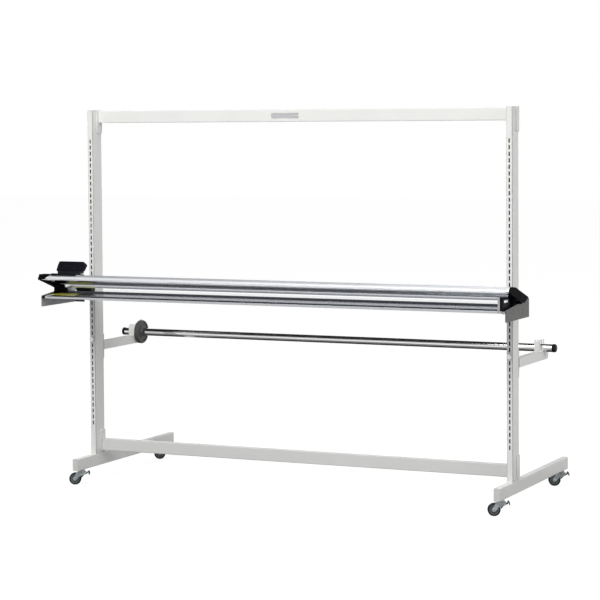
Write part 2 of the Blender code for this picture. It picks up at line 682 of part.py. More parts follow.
def addPedal(name, forkTop, plastic, centre):
    # Foot plate with a window, a barrel between the fork's cheeks, two stub pins in their
    # holes and a shoe with a flat face close to the tread.
    inner = WHEEL_WIDTH / 2 + FORK_SIDE_GAP - GAP
    pivotX = -PEDAL_PIVOT_REACH
    pivotZ = forkTop - FORK_SHEET - PEDAL_PIVOT_DROP
    pivot = (pivotX, 0, pivotZ)
    tipX = -PEDAL_REACH
    tipZ = pivotZ - PEDAL_DROP
    half = PEDAL_SHEET / 2
    plate = [
        (pivotX, pivotZ + half), (tipX, tipZ + half), (tipX - PEDAL_LIP, tipZ - half),
        (tipX - PEDAL_LIP, tipZ - PEDAL_SHEET), (tipX, tipZ - half), (pivotX, pivotZ - half),
    ]
    body = prism(plate, -inner, inner, "Y")
    pedal = addPiece("brake_pedal_" + name, body, plastic, centre, pivot)
    fuse(pedal, moved(cylinder(PEDAL_BARREL_RADIUS, -inner, inner, PIN_FACETS, "Y"), pivot))
    pinEnd = inner + FORK_SHEET
    fuse(pedal, moved(cylinder(PEDAL_PIN_RADIUS, -pinEnd, pinEnd, PIN_FACETS, "Y"), pivot))
    wideFrom = -FORK_NOSE - PEDAL_CLEARANCE
    fall = (pivotZ - tipZ) / (pivotX - tipX)
    wideZ = pivotZ - (pivotX - wideFrom) * fall
    wide = [
        (wideFrom, wideZ + half), (tipX, tipZ + half), (tipX - PEDAL_LIP, tipZ - half),
        (tipX - PEDAL_LIP, tipZ - PEDAL_SHEET), (tipX, tipZ - half), (wideFrom, wideZ - half),
    ]
    wing = prism(wide, -PEDAL_WIDTH / 2, PEDAL_WIDTH / 2, "Y")
    fuse(pedal, wing)
    windowX = (wideFrom + tipX) / 2
    window = block(
        (windowX - PEDAL_WINDOW_LENGTH / 2, windowX + PEDAL_WINDOW_LENGTH / 2),
        (-PEDAL_WINDOW_WIDTH / 2, PEDAL_WINDOW_WIDTH / 2),
        (tipZ - PEDAL_SHEET - OVERRUN, pivotZ + PEDAL_SHEET + OVERRUN))
    cut(pedal, window)
    out = Vector((cos(BRAKE_SHOE_ANGLE), sin(BRAKE_SHOE_ANGLE)))
    middle = Vector((CASTER_TRAIL, WHEEL_RADIUS)) + out * (WHEEL_RADIUS + BRAKE_SHOE_GAP)
    reach = Vector((-out.y, out.x)) * BRAKE_SHOE_LENGTH / 2
    touch = [(middle.x - reach.x, middle.y - reach.y), (middle.x + reach.x, middle.y + reach.y)]
    shoe = [(pivotX + half, pivotZ + half), *touch, (pivotX - half, pivotZ - half)]
    fuse(pedal, prism(shoe, -BRAKE_SHOE_WIDTH / 2, BRAKE_SHOE_WIDTH / 2, "Y"))


# Cutter

def addBase(aluminium, steel, stand):
    seat = DECK - STRIP_SEAT
    under = DECK - GROOVE_DEPTH - BASE_WALL
    grooveFront = EDGE + STRIP_WIDTH
    grooveRear = grooveFront + GROOVE_WIDTH
    tableRear = EDGE - GAP
    outline = [
        (BASE_FRONT, DECK - TABLE_FALL - LIP_HEIGHT),
        (BASE_FRONT + BASE_WALL, DECK - TABLE_FALL - LIP_HEIGHT),
        (BASE_FRONT + BASE_WALL, DECK - TABLE_FALL - BASE_WALL),
        (tableRear - BASE_WALL, DECK - BASE_WALL - GAP), (tableRear - BASE_WALL, under),
        (grooveRear + BASE_WALL, under), (grooveRear + BASE_WALL, DECK - BASE_WALL),
        (BASE_REAR - BASE_WALL, DECK - BASE_WALL), (BASE_REAR - BASE_WALL, DECK - WEB_HEIGHT),
        (BASE_REAR, DECK - WEB_HEIGHT), (BASE_REAR, DECK), (grooveRear, DECK),
        (grooveRear, DECK - GROOVE_DEPTH), (grooveFront, DECK - GROOVE_DEPTH),
        (grooveFront, seat), (tableRear, seat), (tableRear, DECK), (BASE_FRONT, DECK - TABLE_FALL),
    ]
    half = BASE_LENGTH / 2
    place = (0, EDGE, DECK)
    base = addPiece("cutter_base", prism(outline, -half, half, "X"), aluminium, stand, place)
    for side in (-1, 1):
        hole = cylinder(
            BOLT_SHANK_RADIUS + GAP, BASE_REAR - BASE_WALL - OVERRUN, BASE_REAR + OVERRUN,
            PIN_FACETS, "Y")
        cut(base, moved(hole, (side * HALF_SPACING, 0, slotHeight(CUTTER_SLOT))))
    strip = rectangle(EDGE, EDGE + STRIP_WIDTH, seat + GAP, seat + GAP + STRIP_HEIGHT)
    addPiece("cutting_strip", prism(strip, -half, half, "X"), steel, stand, place)


def addCutterBolt(side, steel, stand):
    face = BASE_REAR - BASE_WALL - GAP
    profile = [
        (0.0, face - CUTTER_BOLT_HEAD),
        (CUTTER_BOLT_RADIUS - CUTTER_BOLT_HEAD / 2, face - CUTTER_BOLT_HEAD),
        (CUTTER_BOLT_RADIUS, face - CUTTER_BOLT_HEAD / 2), (CUTTER_BOLT_RADIUS, face),
        (BOLT_SHANK_RADIUS, face), (BOLT_SHANK_RADIUS, CUTTER_BOLT_REACH),
        (0.0, CUTTER_BOLT_REACH),
    ]
    place = (side * HALF_SPACING, 0, slotHeight(CUTTER_SLOT))
    bolt = moved(turned(profile, PIN_FACETS, "Y"), place)
    addPiece("cutter_bolt_" + sideName(side), bolt, steel, stand, place)


def plateTop(place):
    # Height of the side plate's slanted top edge at a place along Y.
    low = DECK - PLATE_FALL
    rear = BASE_REAR - BASE_WALL - GAP
    share = (place - BASE_FRONT) / (rear - BASE_FRONT)
    return low + PLATE_FRONT_HEIGHT + (PLATE_REAR_HEIGHT - PLATE_FRONT_HEIGHT) * share


def addSidePlate(side, steel, stand):
    # A cheek with a slanted top edge and a flange bent inwards against the rear web.
    low = DECK - PLATE_FALL
    rear = BASE_REAR - BASE_WALL - GAP
    outline = rounded([
        (BASE_FRONT, low), (rear, low), (rear, plateTop(rear)), (BASE_FRONT, plateTop(BASE_FRONT)),
    ], [PLATE_CORNER, 0, PLATE_CORNER, PLATE_CORNER / 2])
    outer = side * PLATE_SPAN / 2
    inner = outer - side * PLATE_SHEET
    plate = addPiece(
        "side_plate_" + sideName(side), prism(outline, inner, outer, "X"), steel, stand,
        (outer, BASE_REAR, DECK))
    flange = rectangle(
        *span(inner + side * WELD, outer - side * PLATE_FLANGE), low, low + PLATE_FLANGE_HEIGHT)
    fuse(plate, prism(flange, rear - PLATE_SHEET, rear, "Y"))


def railOutline():
    return [
        (RAIL_TIP + RAIL_DEPTH * deep, HEEL_HEIGHT + RAIL_HEIGHT * high)
        for deep, high in RAIL_SHARES
    ]


def grooveOutline(clearance):
    # The shallow groove that guides the head, on the rail's top flat.
    first, last = [Vector(point) for point in railOutline()[1:3]]
    way = (last - first).normalized()
    up = Vector((-way.y, way.x))
    middle = first.lerp(last, GROOVE_PLACE_SHARE)
    half = RAIL_GROOVE_WIDTH / 2 - clearance
    deep = RAIL_GROOVE_DEPTH - clearance
    corners = [
        middle - way * half - up * deep, middle + way * half - up * deep,
        middle + way * half + up * OVERRUN, middle - way * half + up * OVERRUN,
    ]
    return [(corner.x, corner.y) for corner in corners]


def addRail(aluminium, stand):
    # A hollow wedge, sharp towards the heel, open at both ends.
    outline = railOutline()
    place = (0, HEEL, HEEL_HEIGHT)
    wedge = prism(outline, RAIL_LEFT, RAIL_RIGHT, "X")
    rail = addPiece("guide_rail", wedge, aluminium, stand, place)
    bore = inset(outline[::-1], RAIL_WALL)
    cut(rail, prism(bore, RAIL_LEFT - OVERRUN, RAIL_RIGHT + OVERRUN, "X"))
    cut(rail, prism(grooveOutline(0.0), RAIL_LEFT - OVERRUN, RAIL_RIGHT + OVERRUN, "X"))


def underRail(place):
    # Height just under the rail's lower face at a place along Y.
    tip = railOutline()[0]
    heel = railOutline()[-1]
    return tip[1] + (heel[1] - tip[1]) * (place - tip[0]) / (heel[0] - tip[0]) - GAP


def tableTop(place):
    # Height just over the table, which falls from the cutting edge to the lip.
    return DECK - TABLE_FALL * (EDGE - place) / (EDGE - BASE_FRONT) + GAP


def addEndCap(side, plastic, stand):
    # A moulded C: a wedge-shaped plate over the rail's end, a spine behind the throat that
    # stands on the deck, and a lower jaw between the base's end and the side plate.
    tip, first, last = railOutline()[:-1]
    tail = (HEEL + CAP_TAIL_REACH, HEEL_HEIGHT + CAP_TAIL_RISE)
    spineRear = HEEL + SPINE_DEPTH
    cheek = HEEL - CAP_CHEEK
    low = (spineRear, HEEL_HEIGHT - CAP_TAIL_DROP)
    throat = (HEEL, HEEL_HEIGHT - CAP_UNDERCUT)
    radii = [CAP_CORNER / 2, CAP_CORNER / 2, CAP_CORNER, CAP_CORNER, CAP_CORNER, 0]
    outer = side * CAP_SPAN / 2
    plateOuter = side * (PLATE_SPAN / 2 + GAP)
    spineEnd = side * (PLATE_SPAN / 2 - RAIL_INSET + GAP)
    railEnd = RAIL_RIGHT + GAP if side > 0 else RAIL_LEFT - GAP
    start = railEnd if side > 0 else plateOuter
    weld = side * WELD
    band = rounded([tip, first, last, tail, low, throat], radii)
    cap = addPiece(
        "end_cap_" + sideName(side), prism(band, *span(start, outer), "X"), plastic, stand,
        (railEnd, HEEL, HEEL_HEIGHT))
    fall = (tail[1] - last[1]) / (tail[0] - last[0])
    spineTop = last[1] + fall * (HEEL - last[0]) - WELD
    overPlate = [(tail[0] - WELD, tail[1] - WELD), (tail[0] - WELD, plateTop(tail[0]) + GAP)]
    if side > 0:
        overPlate += [(HEEL + GAP, plateTop(HEEL) + GAP), (HEEL + GAP, spineTop)]
    else:
        overPlate += [
            (throat[0], plateTop(throat[0]) + GAP), throat, (tip[0] + WELD, tip[1]),
            (first[0], first[1] - WELD), (last[0], last[1] - WELD),
        ]
    fuse(cap, prism(overPlate, *span(spineEnd, start + weld), "X"))
    plug = inset(railOutline()[::-1], RAIL_WALL + RUNNING_GAP)
    fuse(cap, prism(plug, *span(railEnd + weld, railEnd - side * CAP_PLUG), "X"))
    spine = [
        (HEEL + GAP, underRail(HEEL)), (HEEL + GAP, spineTop), (tail[0] - WELD, tail[1] - WELD),
        (spineRear, HEEL_HEIGHT - CAP_TAIL_DROP + CAP_CORNER), (spineRear, DECK + GAP),
        (EDGE + STRIP_WIDTH, DECK + GAP), (EDGE + STRIP_WIDTH, DECK + STRIP_HEIGHT),
        (EDGE - GAP, DECK + STRIP_HEIGHT), (EDGE - GAP, tableTop(EDGE)),
        (cheek, tableTop(cheek)), (cheek, underRail(cheek)),
    ]
    fuse(cap, prism(spine, *span(side * SPINE_SPAN / 2, spineEnd + weld), "X"))
    jawTop = DECK - TABLE_FALL
    jaw = [
        (BASE_FRONT, jawTop), (BASE_FRONT, jawTop - LIP_HEIGHT), (spineRear, jawTop - LIP_HEIGHT),
        (spineRear, DECK + JAW_HEIGHT / 2), (cheek, DECK + JAW_HEIGHT / 2),
        (cheek, tableTop(cheek) - GAP),
    ]
    jawStart = BASE_LENGTH / 2 + GAP
    jawEnd = PLATE_SPAN / 2 - PLATE_SHEET - GAP
    fuse(cap, prism(jaw, *span(side * jawStart, side * jawEnd), "X"))
    if side < 0:
        addHood(cap, railEnd)


def addHood(cap, railEnd):
    # A thin lip of the left cap over the rail's nose and top, cut off at a slant.
    tip, first = railOutline()[:2]
    end = HOOD_INSET - PLATE_SPAN / 2
    toe = HOOD_TOE_INSET - PLATE_SPAN / 2
    near = inset(railOutline()[::-1], -GAP)
    far = inset(railOutline()[::-1], -GAP - HOOD_SHEET)[1:]
    deep = inset(railOutline()[::-1], HOOD_SHEET)[1:]
    hood = prism(far + deep[::-1], *span(railEnd - HOOD_SHEET * 2, end), "X")
    slant = [
        (toe, tip[1] - OVERRUN), (end + OVERRUN, tip[1] - OVERRUN), (end + OVERRUN, first[1]),
        (end, first[1]),
    ]
    lip = addPiece("hood", hood, cap.data.materials[0], cap.parent)
    cut(lip, prism(near, railEnd, end + OVERRUN, "X"))
    ahead = rectangle(tip[0] - HOOD_SHEET * 3, tip[0], tip[1] - RAIL_HEIGHT, first[1])
    cut(lip, prism(ahead, railEnd - HOOD_SHEET * 3, end + OVERRUN, "X"))
    cut(lip, prism(slant, tip[0] - OVERRUN, HEEL, "Y"))
    shape = bmesh.new()
    shape.from_mesh(lip.data)
    mesh = lip.data
    bpy.data.objects.remove(lip)
    bpy.data.meshes.remove(mesh)
    fuse(cap, shape)


def addStrap(plastic, stand):
    # A plate that closes the mouth of the right end cap under the rail, with a small window.
    front = BASE_FRONT
    rear = HEEL - CAP_CHEEK - GAP
    low = tableTop(front)
    outline = [(front, low), (rear, tableTop(rear)), (rear, underRail(rear)), (front, underRail(front))]
    right = PLATE_SPAN / 2 - STRAP_INSET
    strap = addPiece(
        "mouth_strap", prism(outline, right - STRAP_SHEET, right, "X"), plastic, stand,
        (right, front, low))
    window = rounded(rectangle(
        front + WINDOW_INSET, front + WINDOW_INSET + WINDOW_LENGTH,
        DECK + WINDOW_RISE, DECK + WINDOW_RISE + WINDOW_HEIGHT), STRAP_CORNER)
    cut(strap, prism(window, right - STRAP_SHEET - OVERRUN, right + OVERRUN, "X"))


# Cutting head

def addHead(materials, stand):
    tip, first, last, heel = [Vector(point) for point in railOutline()]
    down = (tip - first).normalized()
    ahead = Vector((down.y, -down.x))
    flat = (last - first).normalized()
    up = Vector((-flat.y, flat.x))
    slope = (heel - last).normalized()
    out = Vector((-slope.y, slope.x))
    left = HEAD_LEFT
    right = left + CARRIAGE_LENGTH
    blade = (left + BLADE_PLACE, EDGE + STRIP_WIDTH + GAP, DECK - BLADE_DIP + BLADE_RADIUS)

    def corner(distance):
        # Where the rail's flat and slope meet when both are moved out by a distance.
        middle = (up + out).normalized()
        return last + middle * distance / middle.dot(up)

    def noseCorner(distance):
        middle = (up + ahead).normalized()
        return first + middle * distance / middle.dot(up)

    near, far = GAP, GAP + CARRIAGE_SHEET
    foot = last + slope * (heel - last).length * LEG_SHARE
    lip = first + down * CARRIAGE_LIP
    section = [
        lip + ahead * near, noseCorner(near), corner(near), foot + out * near, foot + out * far,
        corner(far), noseCorner(far), lip + ahead * far,
    ]
    carriage = addPiece(
        "head_carriage", prism([(p.x, p.y) for p in section], left, right, "X"),
        materials["plastic"], stand, blade)
    fuse(carriage, prism(grooveOutline(GAP), left, right, "X"))

    coverLeft = left + COVER_INSET
    coverRight = coverLeft + COVER_LENGTH
    coverLow = noseCorner(far).y + GAP
    skirtTop = coverLow + COVER_SKIRT
    coverTop = coverLow + COVER_HEIGHT
    lean = COVER_DEPTH * COVER_LEAN_SHARE
    front = first.x
    rear = front + COVER_DEPTH
    body = rounded([
        (coverLeft, skirtTop), (coverRight, skirtTop), (coverRight, skirtTop + lean),
        (coverLeft + COVER_LENGTH * COVER_TOP_SHARES[1], coverTop),
        (coverLeft + COVER_LENGTH * COVER_TOP_SHARES[0], coverTop),
    ], COVER_CORNER)
    plastic = materials["plastic"]
    cover = addPiece("head_cover", prism(body, front, rear, "Y"), plastic, stand, blade)
    hood = [
        (front + lean / 2, coverTop + OVERRUN), (front - OVERRUN, skirtTop + lean),
        (front - OVERRUN, coverTop + OVERRUN),
    ]
    cut(cover, prism(hood, coverLeft - OVERRUN, coverRight + OVERRUN, "X"))
    back = [
        (rear - lean, coverTop + OVERRUN), (rear + OVERRUN, coverTop + OVERRUN),
        (rear + OVERRUN, skirtTop + lean),
    ]
    cut(cover, prism(back, coverLeft - OVERRUN, coverRight + OVERRUN, "X"))
    skirtLeft = coverLeft + COVER_SKIRT_LEFT
    skirtRight = coverRight - COVER_SKIRT_INSET
    skirt = [
        (front + COVER_SKIRT_INSET, coverLow), (rear - COVER_SKIRT_INSET, coverLow),
        (rear - COVER_SKIRT_INSET, skirtTop + WELD), (front + COVER_SKIRT_INSET, skirtTop + WELD),
    ]
    fuse(cover, prism(skirt, skirtLeft, skirtRight, "X"))
    gripX, gripZ = COVER_GRIP_SHARES
    grip = rounded(rectangle(
        coverLeft + COVER_LENGTH * gripX[0], coverLeft + COVER_LENGTH * gripX[1],
        coverLow + COVER_HEIGHT * gripZ[0], coverLow + COVER_HEIGHT * gripZ[1]), COVER_CORNER / 2)
    cut(cover, prism(grip, front - OVERRUN, front + COVER_GRIP_DEPTH, "Y"))

    addBladeHolder(blade, corner, foot, out, slope, far, materials["plastic"], stand)
    addBlade(blade, materials["steel"], stand)


def addBladeHolder(blade, corner, foot, out, slope, far, plastic, stand):
    # A bracket from the carriage's leg that passes over the blade and comes down behind it,
    # with the pin that carries the blade and a shoe that presses the sheet on the deck.
    left = HEAD_LEFT + HOLDER_LEFT
    right = left + HOLDER_LENGTH
    plateFront = blade[1] + BLADE_THICKNESS + GAP
    plateRear = plateFront + HOLDER_SHEET
    over = blade[2] + BLADE_RADIUS + HOLDER_SHEET
    legLow = foot + out * (far + GAP)
    legHigh = corner(far + GAP) + slope * HOLDER_SHEET
    shelf = legLow + (legHigh - legLow) * ((over - legLow.y) / (legHigh.y - legLow.y))
    section = [
        (shelf.x, shelf.y), (plateFront, over), (plateFront, blade[2] - HOLDER_DROP),
        (plateRear, blade[2] - HOLDER_DROP), (plateRear, over + HOLDER_SHEET),
        (legHigh.x, legHigh.y),
    ]
    holder = addPiece("blade_holder", prism(section, left, right, "X"), plastic, stand, blade)
    pinFront = blade[1] - GAP - BLADE_NUT
    pin = turned([
        (0.0, pinFront), (BLADE_NUT_RADIUS, pinFront), (BLADE_NUT_RADIUS, blade[1] - GAP),
        (BLADE_PIN_RADIUS, blade[1] - GAP), (BLADE_PIN_RADIUS, plateFront + WELD),
        (0.0, plateFront + WELD),
    ], PIN_FACETS * 2, "Y")
    fuse(holder, moved(pin, (blade[0], 0, blade[2])))
    shoeLow = DECK + SHOE_LIFT
    shoe = rounded(rectangle(
        plateFront, plateFront + SHOE_DEPTH, shoeLow, shoeLow + SHOE_HEIGHT), COVER_CORNER / 2)
    shoeLeft = HEAD_LEFT + SHOE_LEFT
    fuse(holder, prism(shoe, shoeLeft, shoeLeft + SHOE_LENGTH, "X"))


def addBlade(blade, steel, stand):
    # A round blade, ground on the side away from the cutting strip.
    bore = BLADE_PIN_RADIUS + RUNNING_GAP
    profile = [
        (bore, 0.0), (BLADE_RADIUS, 0.0), (BLADE_RADIUS, BLADE_THICKNESS / 4),
        (BLADE_RADIUS - BLADE_BEVEL, BLADE_THICKNESS), (bore, BLADE_THICKNESS),
    ]
    disc = moved(turned(profile, BLADE_FACETS, "Y", ring=True), blade)
    addPiece("rotary_blade", disc, steel, stand, blade)


# Roll carrier

def addArm(side, steel, stand):
    # A channel with a cradle at its rear end and a plate against the upright's rear face.
    centre = side * HALF_SPACING
    half = ARM_WIDTH / 2
    plateFront = UPRIGHT_DEPTH + GAP
    plateRear = plateFront + ARM_PLATE_SHEET
    rear = UPRIGHT_DEPTH + ARM_LENGTH
    bottom = ARM_TOP - ARM_HEIGHT
    notch = SHAFT_RADIUS + GAP
    prongFront = SHAFT_PLACE - notch - PRONG_DEPTH
    prongRear = SHAFT_PLACE + notch + REAR_PRONG
    prongTop = SHAFT_HEIGHT + PRONG_HEIGHT
    cheek = rounded([
        (plateFront, bottom), (rear, bottom), (rear, ARM_TOP), (plateFront, ARM_TOP),
    ], [0, ARM_END_CORNER, ARM_END_CORNER, 0], FINE_STEPS)
    arm = addPiece(
        "roll_arm_" + sideName(side), prism(cheek, centre - half, centre + half, "X"), steel,
        stand, (centre, UPRIGHT_DEPTH, ARM_TOP))
    prong = rounded([
        (prongFront, bottom + ARM_SHEET / 2), (SHAFT_PLACE, bottom + ARM_SHEET / 2),
        (SHAFT_PLACE - notch + PRONG_HOOK, prongTop), (prongFront, prongTop),
    ], [0, 0, PRONG_HOOK / 2, PRONG_DEPTH / 3], FINE_STEPS)
    fuse(arm, prism(prong, centre - half + WELD / 2, centre + half - WELD / 2, "X"))
    rearProng = rounded([
        (SHAFT_PLACE, bottom + ARM_SHEET / 2), (prongRear, bottom + ARM_SHEET / 2),
        (prongRear, prongTop), (SHAFT_PLACE, prongTop),
    ], [0, 0, REAR_PRONG / 2, 0], FINE_STEPS)
    fuse(arm, prism(rearProng, centre, centre + side * (half - WELD / 2), "X"))
    inner = half - ARM_SHEET
    cut(arm, prism(
        rectangle(prongFront + ARM_SHEET, rear + OVERRUN, bottom + ARM_SHEET, prongTop + OVERRUN),
        centre + side * ARM_SHEET, centre + side * inner, "X"))
    cut(arm, prism(
        rectangle(prongFront + ARM_SHEET, rear + OVERRUN, bottom + ARM_SHEET, prongTop + OVERRUN),
        centre - side * inner, centre, "X"))
    cut(arm, prism(
        rectangle(plateRear, prongFront, bottom + ARM_SHEET, prongTop + OVERRUN),
        centre - inner, centre + inner, "X"))
    mouth = [
        (SHAFT_PLACE + notch * cos(pi * k / STEM_FACETS),
         SHAFT_HEIGHT - notch * sin(pi * k / STEM_FACETS))
        for k in range(STEM_FACETS + 1)
    ]
    mouth.append((SHAFT_PLACE - notch, prongTop + OVERRUN))
    mouth.append((SHAFT_PLACE + notch, prongTop + OVERRUN))
    cut(arm, prism(mouth, centre - half - OVERRUN, centre + half + OVERRUN, "X"))
    slot = slotHeight(ARM_SLOT)
    plateTopEdge = slot + ARM_PLATE_RISE
    plate = rounded(rectangle(
        centre - UPRIGHT_WIDTH / 2, centre + UPRIGHT_WIDTH / 2,
        plateTopEdge - ARM_PLATE_HEIGHT, plateTopEdge), TUBE_CORNER)
    fuse(arm, prism(plate, plateFront, plateRear, "Y"))
    hole = cylinder(
        BOLT_SHANK_RADIUS + GAP, plateFront - OVERRUN, plateRear + OVERRUN, PIN_FACETS, "Y")
    cut(arm, moved(hole, (centre, 0, slot)))
    screwHole = cylinder(ARM_HOLE_RADIUS, -half - OVERRUN, half + OVERRUN, PIN_FACETS, "X")
    screwPlace = (centre, UPRIGHT_DEPTH + ARM_HOLE_PLACE, ARM_TOP - ARM_HOLE_DROP)
    cut(arm, moved(screwHole, screwPlace))


def addArmBolt(side, steel, stand):
    # An eight-sided head on the slots and a shank through the upright to the arm's plate.
    centre = side * HALF_SPACING
    slot = slotHeight(ARM_SLOT)
    radius = ARM_BOLT_WIDTH / 2 / cos(pi / ARM_BOLT_SIDES)
    head = circle((centre, slot), radius, ARM_BOLT_SIDES, pi / ARM_BOLT_SIDES)
    bolt = addPiece(
        "arm_bolt_" + sideName(side), prism(head, -GAP - ARM_BOLT_HEAD, -GAP, "Y"), steel, stand,
        (centre, -GAP, slot))
    end = UPRIGHT_DEPTH + GAP + ARM_PLATE_SHEET
    shank = cylinder(BOLT_SHANK_RADIUS, -GAP - WELD, end, PIN_FACETS, "Y")
    fuse(bolt, moved(shank, (centre, 0, slot)))


def addShaft(materials, stand):
    half = SHAFT_LENGTH / 2
    bore = SHAFT_RADIUS - SHAFT_WALL
    place = (0, SHAFT_PLACE, SHAFT_HEIGHT)
    profile = [(bore, -half), (SHAFT_RADIUS, -half), (SHAFT_RADIUS, half), (bore, half)]
    tube = moved(turned(profile, SHAFT_FACETS, "X", ring=True), place)
    addPiece("roll_shaft", tube, materials["chrome"], stand, place)
    for side in (-1, 1):
        face = half + GAP
        capProfile = [
            (0.0, half - SHAFT_CAP_SHANK), (bore - GAP, half - SHAFT_CAP_SHANK), (bore - GAP, face),
            (SHAFT_RADIUS, face), (SHAFT_RADIUS, face + SHAFT_CAP - SHAFT_CAP_ROUNDING),
        ]
        for step in range(1, ROUND_STEPS + 1):
            angle = pi / 2 * step / (ROUND_STEPS + 1)
            capProfile.append((
                SHAFT_RADIUS - SHAFT_CAP_ROUNDING * (1 - cos(angle)),
                face + SHAFT_CAP - SHAFT_CAP_ROUNDING * (1 - sin(angle))))
        capProfile.append((SHAFT_RADIUS - SHAFT_CAP_ROUNDING, face + SHAFT_CAP))
        capProfile.append((0.0, face + SHAFT_CAP))
        capProfile = [(radius, side * height) for radius, height in capProfile]
        cap = moved(turned(capProfile, SHAFT_FACETS, "X"), place)
        addPiece("shaft_cap_" + sideName(side), cap, materials["plastic"], stand, place)


def addFlange(materials, stand):
    # A stop disc with a hub on the shaft, held by a screw through its rim.
    start = -(HALF_SPACING - ARM_WIDTH / 2) + GAP
    end = start + FLANGE_WIDTH
    discStart = start + (FLANGE_WIDTH - FLANGE_DISC) / 2
    discEnd = discStart + FLANGE_DISC
    bore = SHAFT_RADIUS + GAP
    profile = [
        (bore, start), (FLANGE_HUB_RADIUS, start), (FLANGE_HUB_RADIUS, discStart),
        (FLANGE_RADIUS - FLANGE_ROUNDING, discStart), (FLANGE_RADIUS, discStart + FLANGE_ROUNDING),
        (FLANGE_RADIUS, discEnd - FLANGE_ROUNDING), (FLANGE_RADIUS - FLANGE_ROUNDING, discEnd),
        (FLANGE_HUB_RADIUS, discEnd), (FLANGE_HUB_RADIUS, end), (bore, end),
    ]
    place = ((start + end) / 2, SHAFT_PLACE, SHAFT_HEIGHT)
    axis = (0, SHAFT_PLACE, SHAFT_HEIGHT)
    disc = moved(turned(profile, FLANGE_FACETS, "X", ring=True), axis)
    flange = addPiece("stop_flange", disc, materials["grey"], stand, place)
    hole = cylinder(
        FLANGE_SCREW_RADIUS + GAP, bore - OVERRUN, FLANGE_RADIUS + OVERRUN, PIN_FACETS, "Z")
    cut(flange, moved(hole, place))
    top = FLANGE_RADIUS + GAP
    screw = turned([
        (0.0, bore), (FLANGE_SCREW_RADIUS, bore), (FLANGE_SCREW_RADIUS, top),
        (FLANGE_SCREW_HEAD_RADIUS, top), (FLANGE_SCREW_HEAD_RADIUS, top + FLANGE_SCREW_HEAD),
        (0.0, top + FLANGE_SCREW_HEAD),
    ], PIN_FACETS, "Z")
    addPiece("flange_screw", moved(screw, place), materials["steel"], stand, place)


# The whole stand

def buildStand():
    for leftover in list(bpy.data.objects):
        bpy.data.objects.remove(leftover)
    materials = {
        "paint": makeMaterial("white paint", (0.80, 0.80, 0.78), 0.45, 0.0),
        "plastic": makeMaterial("black plastic", (0.02, 0.02, 0.024), 0.5, 0.0),
        "grey": makeMaterial("dark grey plastic", (0.14, 0.14, 0.14), 0.5, 0.0),
        "pale": makeMaterial("light grey plastic", (0.62, 0.62, 0.60), 0.5, 0.0),
        "aluminium": makeMaterial("anodised aluminium", (0.75, 0.77, 0.80), 0.3, 1.0),
        "plate": makeMaterial("grey painted plate", (0.16, 0.16, 0.15), 0.5, 0.0),
        "steel": makeMaterial("bright steel", (0.72, 0.72, 0.72), 0.25, 1.0),
        "chrome": makeMaterial("chrome", (0.85, 0.85, 0.86), 0.08, 1.0),
        "zinc": makeMaterial("zinc plate", (0.55, 0.58, 0.63), 0.35, 1.0),
        "tyre": makeMaterial("black tyre", (0.03, 0.03, 0.035), 0.6, 0.0),
    }
    stand = addEmpty("stand", None, (0, -MIDDLE, 0))
    topBeam = UPRIGHT_TOP - BEAM_HEIGHT
    bottomBeam = FOOT_TOP + BOTTOM_BEAM_RISE
    addBeam("top_beam", topBeam, materials["paint"], stand)
    addBeam("bottom_beam", bottomBeam, materials["paint"], stand)
    capTop = UPRIGHT_TOP + GAP + UPRIGHT_CAP_FLANGE
    for side in (-1, 1):
        name = sideName(side)
        addUpright(side, materials["paint"], materials["paint"], stand)
        addFoot(side, materials["paint"], materials["pale"], stand)
        addSaddle(
            "saddle_top_" + name, side, capTop - TOP_SADDLE_HEIGHT, TOP_SADDLE_HEIGHT,
            materials["paint"], stand)
        addSaddle(
            "saddle_bottom_" + name, side, FOOT_TOP + BOTTOM_SADDLE_RISE, BOTTOM_SADDLE_HEIGHT,
            materials["paint"], stand)
        addArm(side, materials["paint"], stand)
        addArmBolt(side, materials["pale"], stand)
        addCutterBolt(side, materials["steel"], stand)
        addSidePlate(side, materials["plate"], stand)
        addEndCap(side, materials["plastic"], stand)
        front = (side * HALF_SPACING, FOOT_FRONT + CASTER_FRONT_INSET, 0)
        rear = (side * HALF_SPACING, FOOT_REAR - CASTER_REAR_INSET, 0)
        addCaster("front_" + name, front, materials, stand)
        addCaster("rear_" + name, rear, materials, stand)
    addBase(materials["aluminium"], materials["steel"], stand)
    addRail(materials["aluminium"], stand)
    addStrap(materials["plastic"], stand)
    addHead(materials, stand)
    addShaft(materials, stand)
    addFlange(materials, stand)


buildStand()
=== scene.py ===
import json
from math import atan2, cos, pi, radians, sin, tan

import bmesh
import bpy
from mathutils import Matrix, Vector


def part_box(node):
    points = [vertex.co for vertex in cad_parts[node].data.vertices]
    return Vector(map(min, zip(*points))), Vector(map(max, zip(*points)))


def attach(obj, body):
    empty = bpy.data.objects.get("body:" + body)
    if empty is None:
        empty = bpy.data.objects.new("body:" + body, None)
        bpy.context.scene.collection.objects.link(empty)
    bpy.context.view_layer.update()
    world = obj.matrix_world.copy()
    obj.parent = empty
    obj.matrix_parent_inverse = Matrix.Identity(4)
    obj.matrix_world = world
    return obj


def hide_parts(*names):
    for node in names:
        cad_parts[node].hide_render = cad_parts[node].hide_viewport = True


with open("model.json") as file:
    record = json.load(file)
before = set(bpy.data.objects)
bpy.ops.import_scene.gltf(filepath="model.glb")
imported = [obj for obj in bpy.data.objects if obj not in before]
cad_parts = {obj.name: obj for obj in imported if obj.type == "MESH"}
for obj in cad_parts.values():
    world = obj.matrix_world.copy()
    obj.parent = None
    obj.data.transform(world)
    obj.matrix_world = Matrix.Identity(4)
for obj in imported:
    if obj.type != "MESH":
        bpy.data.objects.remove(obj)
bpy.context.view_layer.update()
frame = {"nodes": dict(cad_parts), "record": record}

nodes = frame["nodes"]
